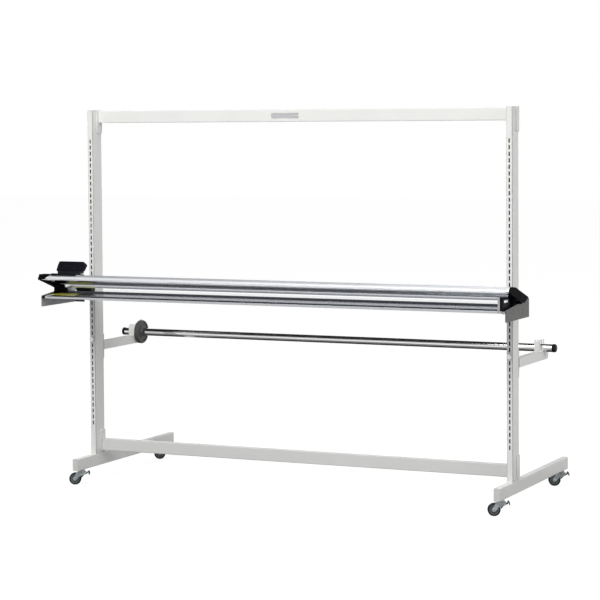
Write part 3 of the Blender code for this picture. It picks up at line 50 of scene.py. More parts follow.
bodyOf = {node: body for body, held in frame["record"]["behaviour"]["bodies"].items() for node in held}
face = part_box("upright_left")[0].y       # the uprights' front face, where Y is counted from
floorLevel = 0.0
spacing = 1.84                          # between the uprights' middles
print("frame loaded:", len(nodes), "solids")


# camera and light

camera = {
    "place": (3.6296, -7.90705, 1.5002),
    "turn": 0.4319, "fall": 0.0479, "tilt": -0.0067,
    "lens": 128.25, "shift": (-0.0148, -0.1275),
}

def addCamera():
    data = bpy.data.cameras.new("viewpoint")
    data.lens = camera["lens"]
    data.sensor_width = 36.0
    data.shift_x, data.shift_y = camera["shift"]
    data.clip_end = 200.0
    holder = bpy.data.objects.new("viewpoint", data)
    bpy.context.scene.collection.objects.link(holder)
    turn = Matrix.Rotation(camera["turn"], 4, "Z") @ Matrix.Rotation(pi / 2 - camera["fall"], 4, "X")
    turn = turn @ Matrix.Rotation(camera["tilt"], 4, "Z")
    holder.matrix_world = Matrix.Translation(camera["place"]) @ turn
    bpy.context.scene.camera = holder

addCamera()

lights = {
    "room": 0.55,                                        # soft light from all sides
    "front": {"place": (0.0, -4.2, 4.7), "aim": (0.0, 0.0, 1.2), "size": (2.6, 2.4), "watts": 205},
    "right": {"place": (6.5, -1.0, 3.4), "aim": (0.0, 0.0, 1.2), "size": (3.0, 3.0), "watts": 100},
}

def addLamp(name, look):
    data = bpy.data.lights.new(name, "AREA")
    data.shape = "RECTANGLE"
    data.size, data.size_y = look["size"]
    data.energy = look["watts"]
    lamp = bpy.data.objects.new(name, data)
    bpy.context.scene.collection.objects.link(lamp)
    lamp.location = look["place"]
    lamp.rotation_mode = "QUATERNION"
    way = Vector(look["aim"]) - Vector(look["place"])
    lamp.rotation_quaternion = way.to_track_quat("-Z", "Y")

def fill(node, values):
    for name, value in values.items():
        node.inputs[name].default_value = value

def addNode(tree, kind, values=None):
    node = tree.nodes.new("ShaderNode" + kind)
    fill(node, values or {})
    return node

def directViews(tree):
    # 1 for rays that show a background: straight from the camera, by gloss or through glass
    path = addNode(tree, "LightPath")
    total = path.outputs["Is Camera Ray"]
    for kind in ("Is Glossy Ray", "Is Transmission Ray"):
        add = addNode(tree, "Math")
        add.operation = "MAXIMUM"
        tree.links.new(total, add.inputs[0])
        tree.links.new(path.outputs[kind], add.inputs[1])
        total = add.outputs[0]
    return total

def addRoomLight():
    world = bpy.data.worlds.new("studio")
    world.use_nodes = True
    bpy.context.scene.world = world
    tree = world.node_tree
    ground = tree.nodes["Background"]
    fill(ground, {"Color": (1, 1, 1, 1)})
    level = addNode(tree, "MapRange", {"To Min": lights["room"], "To Max": 1.0})
    tree.links.new(directViews(tree), level.inputs["Value"])
    tree.links.new(level.outputs["Result"], ground.inputs["Strength"])

bpy.context.scene.view_settings.view_transform = "Standard"
addRoomLight()
addLamp("front softbox", lights["front"])
addLamp("right fill", lights["right"])
print("camera and light set")


# finishes; each pattern lies in the piece's own metres, a grain is its width, detail and depth

def freshMaterial(name, colour, roughness, metallic=0.0):
    material = bpy.data.materials.new(name)
    material.use_nodes = True
    shader = material.node_tree.nodes["Principled BSDF"]
    fill(shader, {"Base Color": (*colour, 1), "Roughness": roughness, "Metallic": metallic})
    return material, material.node_tree, shader

def spots(tree, size, stretch=(1, 1, 1), detail=3.0):
    # soft noise; size is the width of a spot, stretch squeezes it along each axis
    place = addNode(tree, "TexCoord")
    scale = addNode(tree, "Mapping", {"Scale": [share / size for share in stretch]})
    pattern = addNode(tree, "TexNoise", {"Scale": 1.0, "Detail": detail})
    tree.links.new(place.outputs["Object"], scale.inputs["Vector"])
    tree.links.new(scale.outputs["Vector"], pattern.inputs["Vector"])
    return pattern.outputs["Fac"]

def between(tree, value, low, high, start=0.3, end=0.7):
    level = addNode(tree, "MapRange", {"From Min": start, "From Max": end, "To Min": low, "To Max": high})
    tree.links.new(value, level.inputs["Value"])
    return level.outputs["Result"]

def tinted(tree, shader, value, first, second):
    # base colour from the first to the second as the value rises
    mix = addNode(tree, "Mix")
    mix.data_type = "RGBA"
    fill(mix, {"A": (*first, 1), "B": (*second, 1)})
    tree.links.new(value, mix.inputs["Factor"])
    tree.links.new(mix.outputs["Result"], shader.inputs["Base Color"])

def rubbed(tree, shader, value, low, high):
    # roughness from low to high as the value rises
    tree.links.new(between(tree, value, low, high), shader.inputs["Roughness"])

def pressed(tree, shader, height, depth, under=None):
    # a bump of that depth in metres; under is a bump below it
    bump = addNode(tree, "Bump", {"Strength": 1.0, "Distance": depth})
    tree.links.new(height, bump.inputs["Height"])
    if under:
        tree.links.new(under, bump.inputs["Normal"])
    tree.links.new(bump.outputs["Normal"], shader.inputs["Normal"])
    return bump.outputs["Normal"]

def grained(tree, shader, grain, under=None):
    width, detail, depth = grain
    return pressed(tree, shader, spots(tree, width, detail=detail), depth, under)

powderCoat = {
    "shine": 0.45, "clouds": 0.22, "patches": 0.05, "rough": (0.36, 0.5),
    "grains": ((0.0022, 1.0, 0.00007), (0.0005, 1.0, 0.00001)),
}
plateCoat = {
    "shine": 0.35, "clouds": 0.05, "patches": 0.02, "rough": (0.36, 0.48),
    "grains": ((0.0014, 2.0, 0.00005),),
}

def painted(name, colour, paler, coat):
    material, tree, shader = freshMaterial(name, colour, 0.42)
    fill(shader, {"Specular IOR Level": coat["shine"]})
    tinted(tree, shader, between(tree, spots(tree, coat["clouds"]), 0, 1), colour, paler)
    rubbed(tree, shader, spots(tree, coat["patches"]), *coat["rough"])
    under = None
    for grain in coat["grains"]:
        under = grained(tree, shader, grain, under)
    return material

plasticSkin = {"clouds": 0.03, "patches": 0.018, "worn": (-0.07, 0.08), "grain": (0.0006, 2.0, 0.00004)}

def mouldedPlastic(name, colour, paler, roughness=0.46, shine=0.3):
    material, tree, shader = freshMaterial(name, colour, roughness)
    fill(shader, {"Specular IOR Level": shine})
    tinted(tree, shader, between(tree, spots(tree, plasticSkin["clouds"]), 0, 1), colour, paler)
    smoother, rougher = (roughness + change for change in plasticSkin["worn"])
    rubbed(tree, shader, spots(tree, plasticSkin["patches"]), smoother, rougher)
    grained(tree, shader, plasticSkin["grain"])
    return material

drawnSkin = {
    "lines": (0.0011, (0.0012, 1, 1), 4.0), "linesShare": 0.55,      # width, stretch and detail
    "bands": (0.011, (0.02, 1, 1), 2.0), "bandsShare": 0.45,
    "coatRough": 0.05,
}

def drawnAluminium(name, look):
    # extruded along X under a clear anodic layer: fine die lines, slow changes of shade
    material, tree, shader = freshMaterial(name, look["colour"], look["rough"][0], look["metal"])
    fill(shader, {"Specular Tint": look.get("rim", (1, 1, 1, 1))})
    fill(shader, {"Coat Weight": look["coat"], "Coat Roughness": drawnSkin["coatRough"]})
    lines = spots(tree, *drawnSkin["lines"])
    bands = spots(tree, *drawnSkin["bands"])
    shade = addNode(tree, "Math")
    shade.operation = "MULTIPLY_ADD"
    shade.inputs[1].default_value = drawnSkin["linesShare"]
    tree.links.new(lines, shade.inputs[0])
    tree.links.new(between(tree, bands, 0.0, drawnSkin["bandsShare"]), shade.inputs[2])
    tinted(tree, shader, shade.outputs[0], look["darker"], look["colour"])
    rubbed(tree, shader, lines, *look["rough"])
    pressed(tree, shader, lines, look["dieLines"])
    return material

steelSkin = {"width": 0.0006, "detail": 4.0, "rough": (0.16, 0.32), "depth": 0.000008}

def groundSteel(name, along, colour, darker, metal=1.0):
    # fine scratches, drawn out where along is small
    material, tree, shader = freshMaterial(name, colour, 0.24, metal)
    scratch = spots(tree, steelSkin["width"], along, steelSkin["detail"])
    tinted(tree, shader, between(tree, scratch, 0, 1), darker, colour)
    rubbed(tree, shader, scratch, *steelSkin["rough"])
    pressed(tree, shader, scratch, steelSkin["depth"])
    return material

chromeLook = {
    "colour": (0.86, 0.865, 0.87), "darker": (0.83, 0.835, 0.845), "paler": (0.88, 0.882, 0.885),
    "smear": (0.02, (0.15, 1, 1), 3.0), "rough": (0.035, 0.085),
}

def polishedChrome(look):
    material, tree, shader = freshMaterial("polished chrome", look["colour"], 0.05, 1.0)
    smear = spots(tree, *look["smear"])
    rubbed(tree, shader, smear, *look["rough"])
    tinted(tree, shader, between(tree, smear, 0, 1), look["darker"], look["paler"])
    return material

zincLook = {
    "colour": (0.55, 0.6, 0.62), "darker": (0.3, 0.35, 0.37), "paler": (0.78, 0.83, 0.85), "metal": 0.5,
    "flakes": 0.004, "rough": (0.26, 0.42), "grain": (0.0009, 2.0, 0.00003),
}

def zincPlate(look):
    material, tree, shader = freshMaterial("zinc plate", look["colour"], 0.3, look["metal"])
    flakes = spots(tree, look["flakes"], detail=4.0)
    tinted(tree, shader, between(tree, flakes, 0, 1), look["darker"], look["paler"])
    rubbed(tree, shader, flakes, *look["rough"])
    grained(tree, shader, look["grain"])
    return material

rubberLook = {
    "colour": (0.012, 0.012, 0.013), "darker": (0.01, 0.01, 0.011), "paler": (0.03, 0.029, 0.028),
    "clouds": 0.009, "span": (0.45, 0.75), "patches": 0.006,
    "middle": 0.62, "rough": (0.54, 0.74), "grain": (0.0008, 3.0, 0.00005),
}
filmLook = {
    "colour": (0.49, 0.47, 0.07), "darker": (0.44, 0.42, 0.055), "paler": (0.54, 0.51, 0.09),
    "clouds": 0.02, "span": (0.3, 0.7), "patches": 0.004,
    "middle": 0.34, "rough": (0.28, 0.42), "grain": (0.006, 2.0, 0.00002),
}

def wornSkin(name, look):
    # dust or wear in clouds
    material, tree, shader = freshMaterial(name, look["colour"], look["middle"])
    clouds = between(tree, spots(tree, look["clouds"], detail=4.0), 0, 1, *look["span"])
    tinted(tree, shader, clouds, look["darker"], look["paler"])
    rubbed(tree, shader, spots(tree, look["patches"]), *look["rough"])
    grained(tree, shader, look["grain"])
    return material

stageLook = {"size": 60.0, "lift": 0.8, "colour": (0.34, 0.34, 0.34, 1)}

def floorWhite():
    # lit floor and its shadow for the camera; a plain pale floor for the light that it throws back
    material = bpy.data.materials.new("studio floor")
    material.use_nodes = True
    tree = material.node_tree
    shader = tree.nodes["Principled BSDF"]
    fill(shader, {"Base Color": stageLook["colour"], "Roughness": 0.9, "Specular IOR Level": 0.0})
    fill(shader, {"Emission Color": (1, 1, 1, 1)})
    shown = between(tree, directViews(tree), 0.0, stageLook["lift"], 0.0, 1.0)
    tree.links.new(shown, shader.inputs["Emission Strength"])
    return material

satinFinish = {
    "colour": (0.9, 0.91, 0.93), "darker": (0.82, 0.83, 0.855), "rough": (0.4, 0.5),
    "metal": 0.35, "coat": 0.3, "dieLines": 0.000012,
}
# a darker copy of the satin aluminium: painted shade on the rail's upper nose and the base's front lip
shadedFinish = {
    "colour": (0.56, 0.57, 0.59), "darker": (0.49, 0.5, 0.52), "rough": (0.34, 0.44),
    "metal": 0.5, "coat": 0.4, "dieLines": 0.000012,
}
tableFinish = {
    "colour": (0.58, 0.595, 0.63), "darker": (0.5, 0.515, 0.55), "rough": (0.14, 0.22),
    "metal": 1.0, "coat": 0.0, "dieLines": 0.000006, "rim": (0.62, 0.63, 0.66, 1),
}
polishedFinish = {
    "colour": (0.7, 0.715, 0.74), "darker": (0.62, 0.635, 0.66), "rough": (0.09, 0.15),
    "metal": 1.0, "coat": 0.0, "dieLines": 0.000003,
}

# name, colour, paler colour
paint = painted("white powder paint", (0.785, 0.787, 0.768), (0.815, 0.814, 0.794), powderCoat)
# a darker copy of the white paint for the bottom beam: painted shade, as less light reaches low down
shadedBeamPaint = painted("white paint with painted shade near the floor", (0.695, 0.697, 0.682), (0.725, 0.724, 0.708), powderCoat)
greyPlate = painted("grey plate paint", (0.078, 0.076, 0.074), (0.092, 0.09, 0.087), plateCoat)
# a paler copy of the grey plate paint for the side plates' inner faces: painted light
plateInsidePaintedLight = painted("grey plate inside with painted light", (0.34, 0.337, 0.345), (0.38, 0.377, 0.385), plateCoat)

blackPlastic = mouldedPlastic(
    "black moulded plastic", (0.005, 0.005, 0.007), (0.0085, 0.0085, 0.011), shine=0.16)
coverPlastic = mouldedPlastic(
    "cover plastic", (0.0065, 0.0065, 0.0105), (0.0095, 0.0095, 0.014), shine=0.05)
capPlastic = mouldedPlastic(
    "cap plastic", (0.004, 0.004, 0.0055), (0.006, 0.006, 0.008), 0.5, 0.008)
# light grey plastic for the strap's front flange and tab: painted highlight on a black part's lit edge
highlightPlastic = mouldedPlastic("grey plastic as painted highlight", (0.38, 0.38, 0.385), (0.43, 0.43, 0.435), 0.42)
palePlastic = mouldedPlastic("pale moulded plastic", (0.62, 0.62, 0.6), (0.66, 0.66, 0.64), 0.42)
greyPlastic = mouldedPlastic("dark grey plastic", (0.06, 0.06, 0.062), (0.075, 0.075, 0.077), 0.48)
hubPlastic = mouldedPlastic("hub plastic", (0.11, 0.135, 0.142), (0.15, 0.175, 0.182), 0.4)

satinAluminium = drawnAluminium("satin aluminium", satinFinish)
polishedAluminium = drawnAluminium("polished aluminium", polishedFinish)
shadedAluminium = drawnAluminium("aluminium with painted shade", shadedFinish)
tableAluminium = drawnAluminium("table aluminium", tableFinish)

# name, run of the scratches, colour, darker colour
steel = groundSteel("bright steel", (0.01, 1, 1), (0.74, 0.74, 0.75), (0.58, 0.585, 0.6))
bladeSteel = groundSteel("blade steel", (1, 1, 1), (0.96, 0.96, 0.97), (0.88, 0.885, 0.9), 0.4)
# near-black steel for the faces inside the hollow uprights: painted shade seen through the slots
paintedShadeSteel = groundSteel("painted shade inside the uprights", (1, 1, 0.02), (0.05, 0.048, 0.046), (0.03, 0.029, 0.028))
# near-black steel for the cutting strip, which makes a dark band along the cutting edge
darkStripSteel = groundSteel("dark strip steel", (0.01, 1, 1), (0.1, 0.105, 0.12), (0.06, 0.063, 0.072))

chrome = polishedChrome(chromeLook)
zinc = zincPlate(zincLook)
rubber = wornSkin("tyre rubber", rubberLook)
label = wornSkin("yellow label film", filmLook)
print("finishes mixed")


# shapes; Y is counted from the uprights' front face, as on a drawing of the stand

def onAxis(axis, first, second, height):
    if axis == "X":
        return (height, first, second)
    if axis == "Y":
        return (first, height, second)
    return (first, second, height)

def ringAt(shape, outline, height, axis):
    return [shape.verts.new(onAxis(axis, u, v, height)) for u, v in outline]

def flatSheet(outline, height):
    # one face, seen from above
    shape = bmesh.new()
    shape.faces.new(ringAt(shape, outline, height, "Z"))
    return shape

def stacked(rings):
    # a closed skin over rings with the same number of corners
    shape = bmesh.new()
    made = [[shape.verts.new(corner) for corner in ring] for ring in rings]
    shape.faces.new(made[0])
    shape.faces.new(made[-1][::-1])
    for low, high in zip(made, made[1:]):
        for index in range(len(low)):
            after = (index + 1) % len(low)
            shape.faces.new((low[index], low[after], high[after], high[index]))
    bmesh.ops.recalc_face_normals(shape, faces=shape.faces)
    return shape

def pushed(outline, start, end, axis):
    # a flat outline pushed along an axis
    return stacked([[onAxis(axis, u, v, height) for u, v in outline] for height in (start, end)])

def framed(outer, inner, start, end, axis):
    # a flat frame between two outlines of equal count
    shape = bmesh.new()
    outside = [ringAt(shape, outer, height, axis) for height in (start, end)]
    inside = [ringAt(shape, inner, height, axis) for height in (start, end)]
    for index in range(len(outer)):
        after = (index + 1) % len(outer)
        for rim, hole in zip(outside, inside):
            shape.faces.new((rim[index], rim[after], hole[after], hole[index]))
        for low, high in (outside, inside):
            shape.faces.new((low[index], low[after], high[after], high[index]))
    bmesh.ops.recalc_face_normals(shape, faces=shape.faces)
    return shape

def spun(profile, steps, axis, centre=(0, 0, 0), ring=False):
    # (radius, height) pairs turned about an axis
    shape = bmesh.new()
    corners = [shape.verts.new((radius, 0.0, height)) for radius, height in profile]
    edges = [shape.edges.new(pair) for pair in zip(corners, corners[1:])]
    if ring:
        edges.append(shape.edges.new((corners[-1], corners[0])))
    bmesh.ops.spin(
        shape, geom=corners + edges, cent=(0, 0, 0), axis=(0, 0, 1), angle=2 * pi, steps=steps,
        use_merge=True)
    bmesh.ops.remove_doubles(shape, verts=shape.verts, dist=1e-6)
    bmesh.ops.recalc_face_normals(shape, faces=shape.faces)
    if axis == "X":
        shape.transform(Matrix.Rotation(pi / 2, 4, "Y"))
    if axis == "Y":
        shape.transform(Matrix.Rotation(-pi / 2, 4, "X"))
    bmesh.ops.translate(shape, verts=shape.verts, vec=centre)
    return shape

def together(*shapes):
    # several shapes in one mesh
    whole = bmesh.new()
    for shape in shapes:
        mesh = bpy.data.meshes.new("part")
        shape.to_mesh(mesh)
        shape.free()
        whole.from_mesh(mesh)
        bpy.data.meshes.remove(mesh)
    return whole

def rect(left, right, low, high):
    return [(left, low), (right, low), (right, high), (left, high)]

def brick(xs, ys, zs):
    return pushed(rect(*xs, *ys), *zs, "Z")

def rodLine(radius, start, end):
    # for spun: a solid rod
    return [(0.0, start), (radius, start), (radius, end), (0.0, end)]

def softCorners(corners, radius, steps=5):
    # an arc in each corner; radius is one length or one for each
    radii = radius if isinstance(radius, (list, tuple)) else [radius] * len(corners)
    points = []
    for index, corner in enumerate(corners):
        here = Vector(corner)
        if radii[index] <= 0:
            points.append((here.x, here.y))
            continue
        back = (Vector(corners[index - 1]) - here).normalized()
        ahead = (Vector(corners[(index + 1) % len(corners)]) - here).normalized()
        half = back.angle(ahead) / 2
        centre = here + (back + ahead).normalized() * radii[index] / sin(half)
        first = here + back * radii[index] / tan(half) - centre
        last = here + ahead * radii[index] / tan(half) - centre
        turn = atan2(first.cross(last), first.dot(last))
        for step in range(steps + 1):
            arm = Matrix.Rotation(turn * step / steps, 2) @ first
            points.append((centre.x + arm.x, centre.y + arm.y))
    return points

def arc(x, y, radius, start, step, count):
    # points on an arc; start and step are in degrees
    angles = [radians(start + step * k) for k in range(count)]
    return [(x + radius * cos(a), y + radius * sin(a)) for a in angles]

softAngle = radians(32)                  # edges sharper than this stay sharp or get a bevel

def linked(name, shape, material):
    # a new object in the scene
    mesh = bpy.data.meshes.new(name)
    shape.to_mesh(mesh)
    shape.free()
    made = bpy.data.objects.new(name, mesh)
    bpy.context.scene.collection.objects.link(made)
    mesh.materials.append(material)
    return made

def addPiece(name, shape, material, solid=None, body="stand", edge=0.0, steps=2, place=None):
    # a piece rides with the solid that it stands for; trim that stands for none rides on body
    # place carries the shape from its own frame; without it the shape is already on the stand
    shape.transform(place or Matrix.Translation((0, face, 0)))
    bmesh.ops.recalc_face_normals(shape, faces=shape.faces)
    piece = linked(name, shape, material)
    piece.data.shade_smooth()
    piece.data.set_sharp_from_angle(angle=softAngle)
    if edge:
        bevel = piece.modifiers.new("soft edges", "BEVEL")
        bevel.width = edge
        bevel.segments = steps
        bevel.limit_method = "ANGLE"
        bevel.angle_limit = softAngle
        bevel.harden_normals = True
    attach(piece, bodyOf.get(solid, body))
    if solid:
        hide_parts(solid)
    return piece

def secondFinish(piece, material, chosen):
    # another finish on the chosen faces
    piece.data.materials.append(material)
    for side in piece.data.polygons:
        if chosen(side):
            side.material_index = len(piece.data.materials) - 1

def ownFaces(node):
    # the solid's own faces, without the lines between its triangles
    shape = bmesh.new()
    shape.from_mesh(nodes[node].data)
    bmesh.ops.remove_doubles(shape, verts=shape.verts, dist=2e-6)
    bmesh.ops.dissolve_limit(shape, angle_limit=radians(0.6), verts=shape.verts, edges=shape.edges)
    return shape

def inPlace(node, shape, material, edge, steps=2):
    # a shape that already lies where the solid does
    place = Matrix.Identity(4)
    return addPiece(node + "_dressed", shape, material, node, edge=edge, steps=steps, place=place)

def dressed(node, material, edge, steps=2):
    # the solid itself with softened edges
    return inPlace(node, ownFaces(node), material, edge, steps)


# floor and what reflections see

def addStage():
    half = stageLook["size"] / 2
    floor = linked("studio_floor", flatSheet(rect(-half, half, -half, half), floorLevel), floorWhite())

addStage()

flagLook = {
    "x": (-3.0, 2.4), "y": (-2.2, 0.95), "height": 0.004,
    "bands": ((0.0, 1.0), (0.35, 0.55), (0.62, 0.2), (0.8, 0.035), (0.92, 0.035), (1.0, 0.12)),
}

tentLook = {
    "radius": 16.0, "steps": (48, 32), "opening": 0.72,  # share of the height left open behind the stand
    "bands": ((0.0, 0.7), (0.12, 0.85), (0.22, 0.75), (0.42, 0.14), (0.6, 0.02), (1.0, 0.015)),
}

def studioCloth(name, axis, reach, bands):
    # a cloth that glows in bands along an axis
    material = bpy.data.materials.new(name)
    material.use_nodes = True
    tree = material.node_tree
    tree.nodes.remove(tree.nodes["Principled BSDF"])
    place, split = addNode(tree, "TexCoord"), addNode(tree, "SeparateXYZ")
    tree.links.new(place.outputs["Object"], split.inputs["Vector"])
    ramp = addNode(tree, "ValToRGB")
    while len(ramp.color_ramp.elements) < len(bands):
        ramp.color_ramp.elements.new(0.5)
    for stop, (height, level) in zip(ramp.color_ramp.elements, bands):
        stop.position = height
        stop.color = (level, level, level, 1)
    tree.links.new(between(tree, split.outputs[axis], 0, 1, *reach), ramp.inputs["Fac"])
    glow = addNode(tree, "Emission")
    tree.links.new(ramp.outputs["Color"], glow.inputs["Color"])
    tree.links.new(glow.outputs["Emission"], tree.nodes["Material Output"].inputs["Surface"])
    return material

def addStudioShape(name, shape, material):
    # only reflections see it
    card = linked(name, shape, material)
    card.visible_camera = False
    card.visible_diffuse = False
    card.visible_shadow = False
    card.visible_transmission = False

def addTent():
    # a dome over the stand, bright low down, dark towards the top, open behind
    shape = bmesh.new()
    around, upwards = tentLook["steps"]
    top = tentLook["radius"]
    bmesh.ops.create_uvsphere(shape, u_segments=around, v_segments=upwards, radius=top)
    away = []
    for side in shape.faces:
        middle = side.calc_center_median()
        if middle.z < 0 or (middle.y > 0 and middle.z < tentLook["opening"] * top):
            away.append(side)
    bmesh.ops.delete(shape, geom=away, context="FACES")
    addStudioShape("studio_tent", shape, studioCloth("tent cloth", "Z", (0.0, top), tentLook["bands"]))

def addFlag():
    # a dark cloth on the floor under the roll
    reach = [y + face for y in flagLook["y"]]
    shape = flatSheet(rect(*flagLook["x"], *reach), flagLook["height"])
    addStudioShape("studio_flag", shape, studioCloth("flag cloth", "Y", reach, flagLook["bands"]))

addFlag()
addTent()


# painted frame

frameLook = {
    "edge": 0.0009, "plateEdge": 0.0006, "boltEdge": 0.0004,
    "skin": 0.0006,                                      # deeper than this an upright's faces get near-black steel as painted shade
}

def paintNode(node, material):
    mesh = nodes[node].data
    mesh.materials.clear()
    mesh.materials.append(material)

def within(side, low, high, depth):
    # true where a face's middle lies deeper than that in a box seen from above
    middle = side.center
    return low.x + depth < middle.x < high.x - depth and low.y + depth < middle.y < high.y - depth

def addPaintedFrame():
    edge, plateEdge = frameLook["edge"], frameLook["plateEdge"]
    for side, inwards in (("left", 1), ("right", -1)):
        paintNode("upright_" + side, paint)
        dressed("upright_cap_" + side, paint, edge)
        paintNode("foot_" + side, paint)
        for end in ("front", "rear"):
            dressed("foot_plug_" + end + "_" + side, palePlastic, edge)
        for level in ("top", "bottom"):
            dressed("saddle_" + level + "_" + side, paint, plateEdge)
        plate = dressed("side_plate_" + side, greyPlate, plateEdge)
        # the inner faces get the paler copy of the paint as painted light
        secondFinish(plate, plateInsidePaintedLight, lambda part: part.normal.x * inwards > 0.5)
        dressed("cutter_bolt_" + side, steel, frameLook["boltEdge"])
    paintNode("top_beam", paint)
    # the bottom beam gets the darker copy of the paint as painted shade
    paintNode("bottom_beam", shadedBeamPaint)
    for side in ("left", "right"):
        low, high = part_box("upright_" + side)
        upright = nodes["upright_" + side]
        # the faces inside each upright get the painted shade
        secondFinish(upright, paintedShadeSteel, lambda part: within(part, low, high, frameLook["skin"]))

cradleLook = {"foot": 0.5824, "joggle": 0.003, "from": 0.3, "share": 0.667, "edge": 0.0003}

def addArms():
    # the right cradle is narrower than its channel, with a joggle where they meet
    dressed("roll_arm_left", paint, frameLook["plateEdge"])
    look = cradleLook
    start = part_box("roll_arm_right")[0].x
    foot, narrow = look["foot"], look["foot"] + look["joggle"]
    shape = ownFaces("roll_arm_right")
    for height in (foot, narrow):
        geometry = shape.verts[:] + shape.edges[:] + shape.faces[:]
        bmesh.ops.bisect_plane(shape, geom=geometry, plane_co=(0, 0, height), plane_no=(0, 0, 1))
    for corner in shape.verts:
        if corner.co.y > face + look["from"] and corner.co.z > narrow - 0.0001:
            corner.co.x = start + (corner.co.x - start) * look["share"]
    inPlace("roll_arm_right", shape, paint, look["edge"])

nutLook = {
    "off": 0.0003, "washer": 0.0115, "washerRim": ((0.0115, -0.0012), (0.0109, -0.0018)),
    "seat": -0.0018, "nut": 0.0105, "turn": 8, "end": -0.0095,
    "dome": ((0.0034, -0.009), (0.005, -0.0107), (0.0, -0.0113)),
    "shank": 0.0024, "shankStart": -0.0015, "edge": 0.0006,
}

def addArmNuts():
    # a washer and a hexagonal nut, on a shank that goes through the slot
    look = nutLook
    shank, seat = look["shank"], look["seat"]
    for side in ("left", "right"):
        low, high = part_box("arm_bolt_" + side)
        x, z = (low.x + high.x) / 2, (low.z + high.z) / 2
        rim = [(shank, 0.0), (look["washer"], 0.0), *look["washerRim"], (shank, seat)]
        washer = spun(rim, 48, "Y", (x, -look["off"], z), True)
        nut = pushed(arc(x, z, look["nut"], look["turn"], 60, 6), seat, look["end"], "Y")
        dome = spun(look["dome"], 32, "Y", (x, 0, z))
        rod = spun(rodLine(shank, high.y - face, look["shankStart"]), 24, "Y", (x, 0, z))
        whole, bolt = together(washer, nut, dome, rod), "arm_bolt_" + side
        addPiece("arm_nut_" + side, whole, steel, bolt, edge=look["edge"])

addPaintedFrame()
addArms()
addArmNuts()
print("painted frame dressed")


# guide rail and base

railLook = {
    "ends": (-0.995, 1.0117), "edge": 0.0005,
    "tip": (-0.2707, 0.8627), "nose": (-0.2567, 0.8837), "flatEnd": (-0.1987, 0.8787),
    "heel": (-0.1357, 0.8227), "wallFoot": (-0.148, 0.8233), "wallTop": (-0.1495, 0.8372),
    # lines in the sides: place along the side, width, depth
    "tipLine": (0.13, 0.0034, 0.0042), "noseLine": (0.77, 0.0072, 0.0008), "topLine": (0.55, 0.008, 0.0013),
    "rearLine": (0.85, 0.0012, 0.001), "floorLine": (0.06, 0.006, 0.0022),
    # a round swelling between the two front lines
    "swell": {"start": 0.22, "length": 0.42, "height": 0.0014},
    "swellSteps": (0.02, 0.1, 0.2, 0.3, 0.4, 0.5, 0.6, 0.7, 0.8, 0.9, 0.98),
    # over this height above the tip, the rail's forward faces get painted shade
    "noseEnd": 0.05, "heelStart": 0.985, "shadeFoot": 0.0145,
}

def onWay(first, second, share, out=0.0):
    # a point on the way from first to second, moved out to its left
    a, b = Vector(first), Vector(second)
    way = (b - a).normalized()
    point = a.lerp(b, share) + Vector((-way.y, way.x)) * out
    return (point.x, point.y)

def notch(first, second, share, width, depth):
    # a narrow square line cut into the side that runs from first to second
    half = width / 2 / (Vector(second) - Vector(first)).length
    return [
        onWay(first, second, share - half), onWay(first, second, share - half, -depth),
        onWay(first, second, share + half, -depth), onWay(first, second, share + half),
    ]

def addRail():
    look = railLook
    tip, nose, flatEnd, heel = look["tip"], look["nose"], look["flatEnd"], look["heel"]
    swell = look["swell"]
    outline = [tip, *notch(tip, nose, *look["tipLine"])]
    for share in look["swellSteps"]:
        place = swell["start"] + swell["length"] * share
        outline.append(onWay(tip, nose, place, swell["height"] * sin(pi * share)))
    outline += [*notch(tip, nose, *look["noseLine"]), nose, onWay(nose, flatEnd, look["noseEnd"])]
    outline += [*notch(nose, flatEnd, *look["topLine"]), flatEnd]
    outline += [*notch(flatEnd, heel, *look["rearLine"]), onWay(flatEnd, heel, look["heelStart"]), heel]
    outline += [look["wallFoot"], look["wallTop"], *notch(look["wallTop"], tip, *look["floorLine"])]
    shape, edge = pushed(outline, *look["ends"], "X"), look["edge"]
    rail = addPiece("guide_rail_extrusion", shape, satinAluminium, "guide_rail", edge=edge)
    secondFinish(rail, polishedAluminium, lambda side: (
        side.normal.y < 0.3 and side.center.y > nose[0] + face and side.center.z < tip[1]))
    # the forward faces high on the nose get the darker copy as painted shade
    secondFinish(rail, shadedAluminium, lambda side: (
        side.normal.y < -0.5 and side.center.z > tip[1] + look["shadeFoot"]))

addRail()

baseLook = {
    "half": 0.983, "front": -0.268, "rear": -0.0003, "deck": 0.806, "wall": 0.0028,
    "edge": 0.0003, "skin": 0.001,
    "fall": 0.011, "lip": 0.009, "lipNose": ((0.0, -0.0014), (0.0004, -0.0004), (0.0014, 0.0001)),
    "bevel": (0.025, 0.0034),                            # steeper strip behind the lip: depth and rise
    "edgePlace": -0.134, "step": 0.004, "gap": 0.0003,   # the table ends below the deck and ahead of the edge
    "groove": 0.0072, "grooveWidth": 0.022, "web": 0.0465, "corner": 0.001,
    "tableLines": (0.25, 0.5, 0.75), "tableLine": (0.0013, 0.0011),
    "deckLines": (0.35, 0.8), "deckLine": (0.0013, 0.0009),
}
stripLook = {"width": 0.01, "foot": 0.0003, "top": 0.8083, "corners": (0, 0, 0.0008, 0.0004)}

def tableEnds():
    # the table's slope, from behind the lip to the cutting edge
    look = baseLook
    lipTop = look["deck"] - look["fall"]
    return (
        (look["front"] + look["bevel"][0], lipTop + look["bevel"][1]),
        (look["edgePlace"] - look["gap"], look["deck"] - look["step"]),
    )

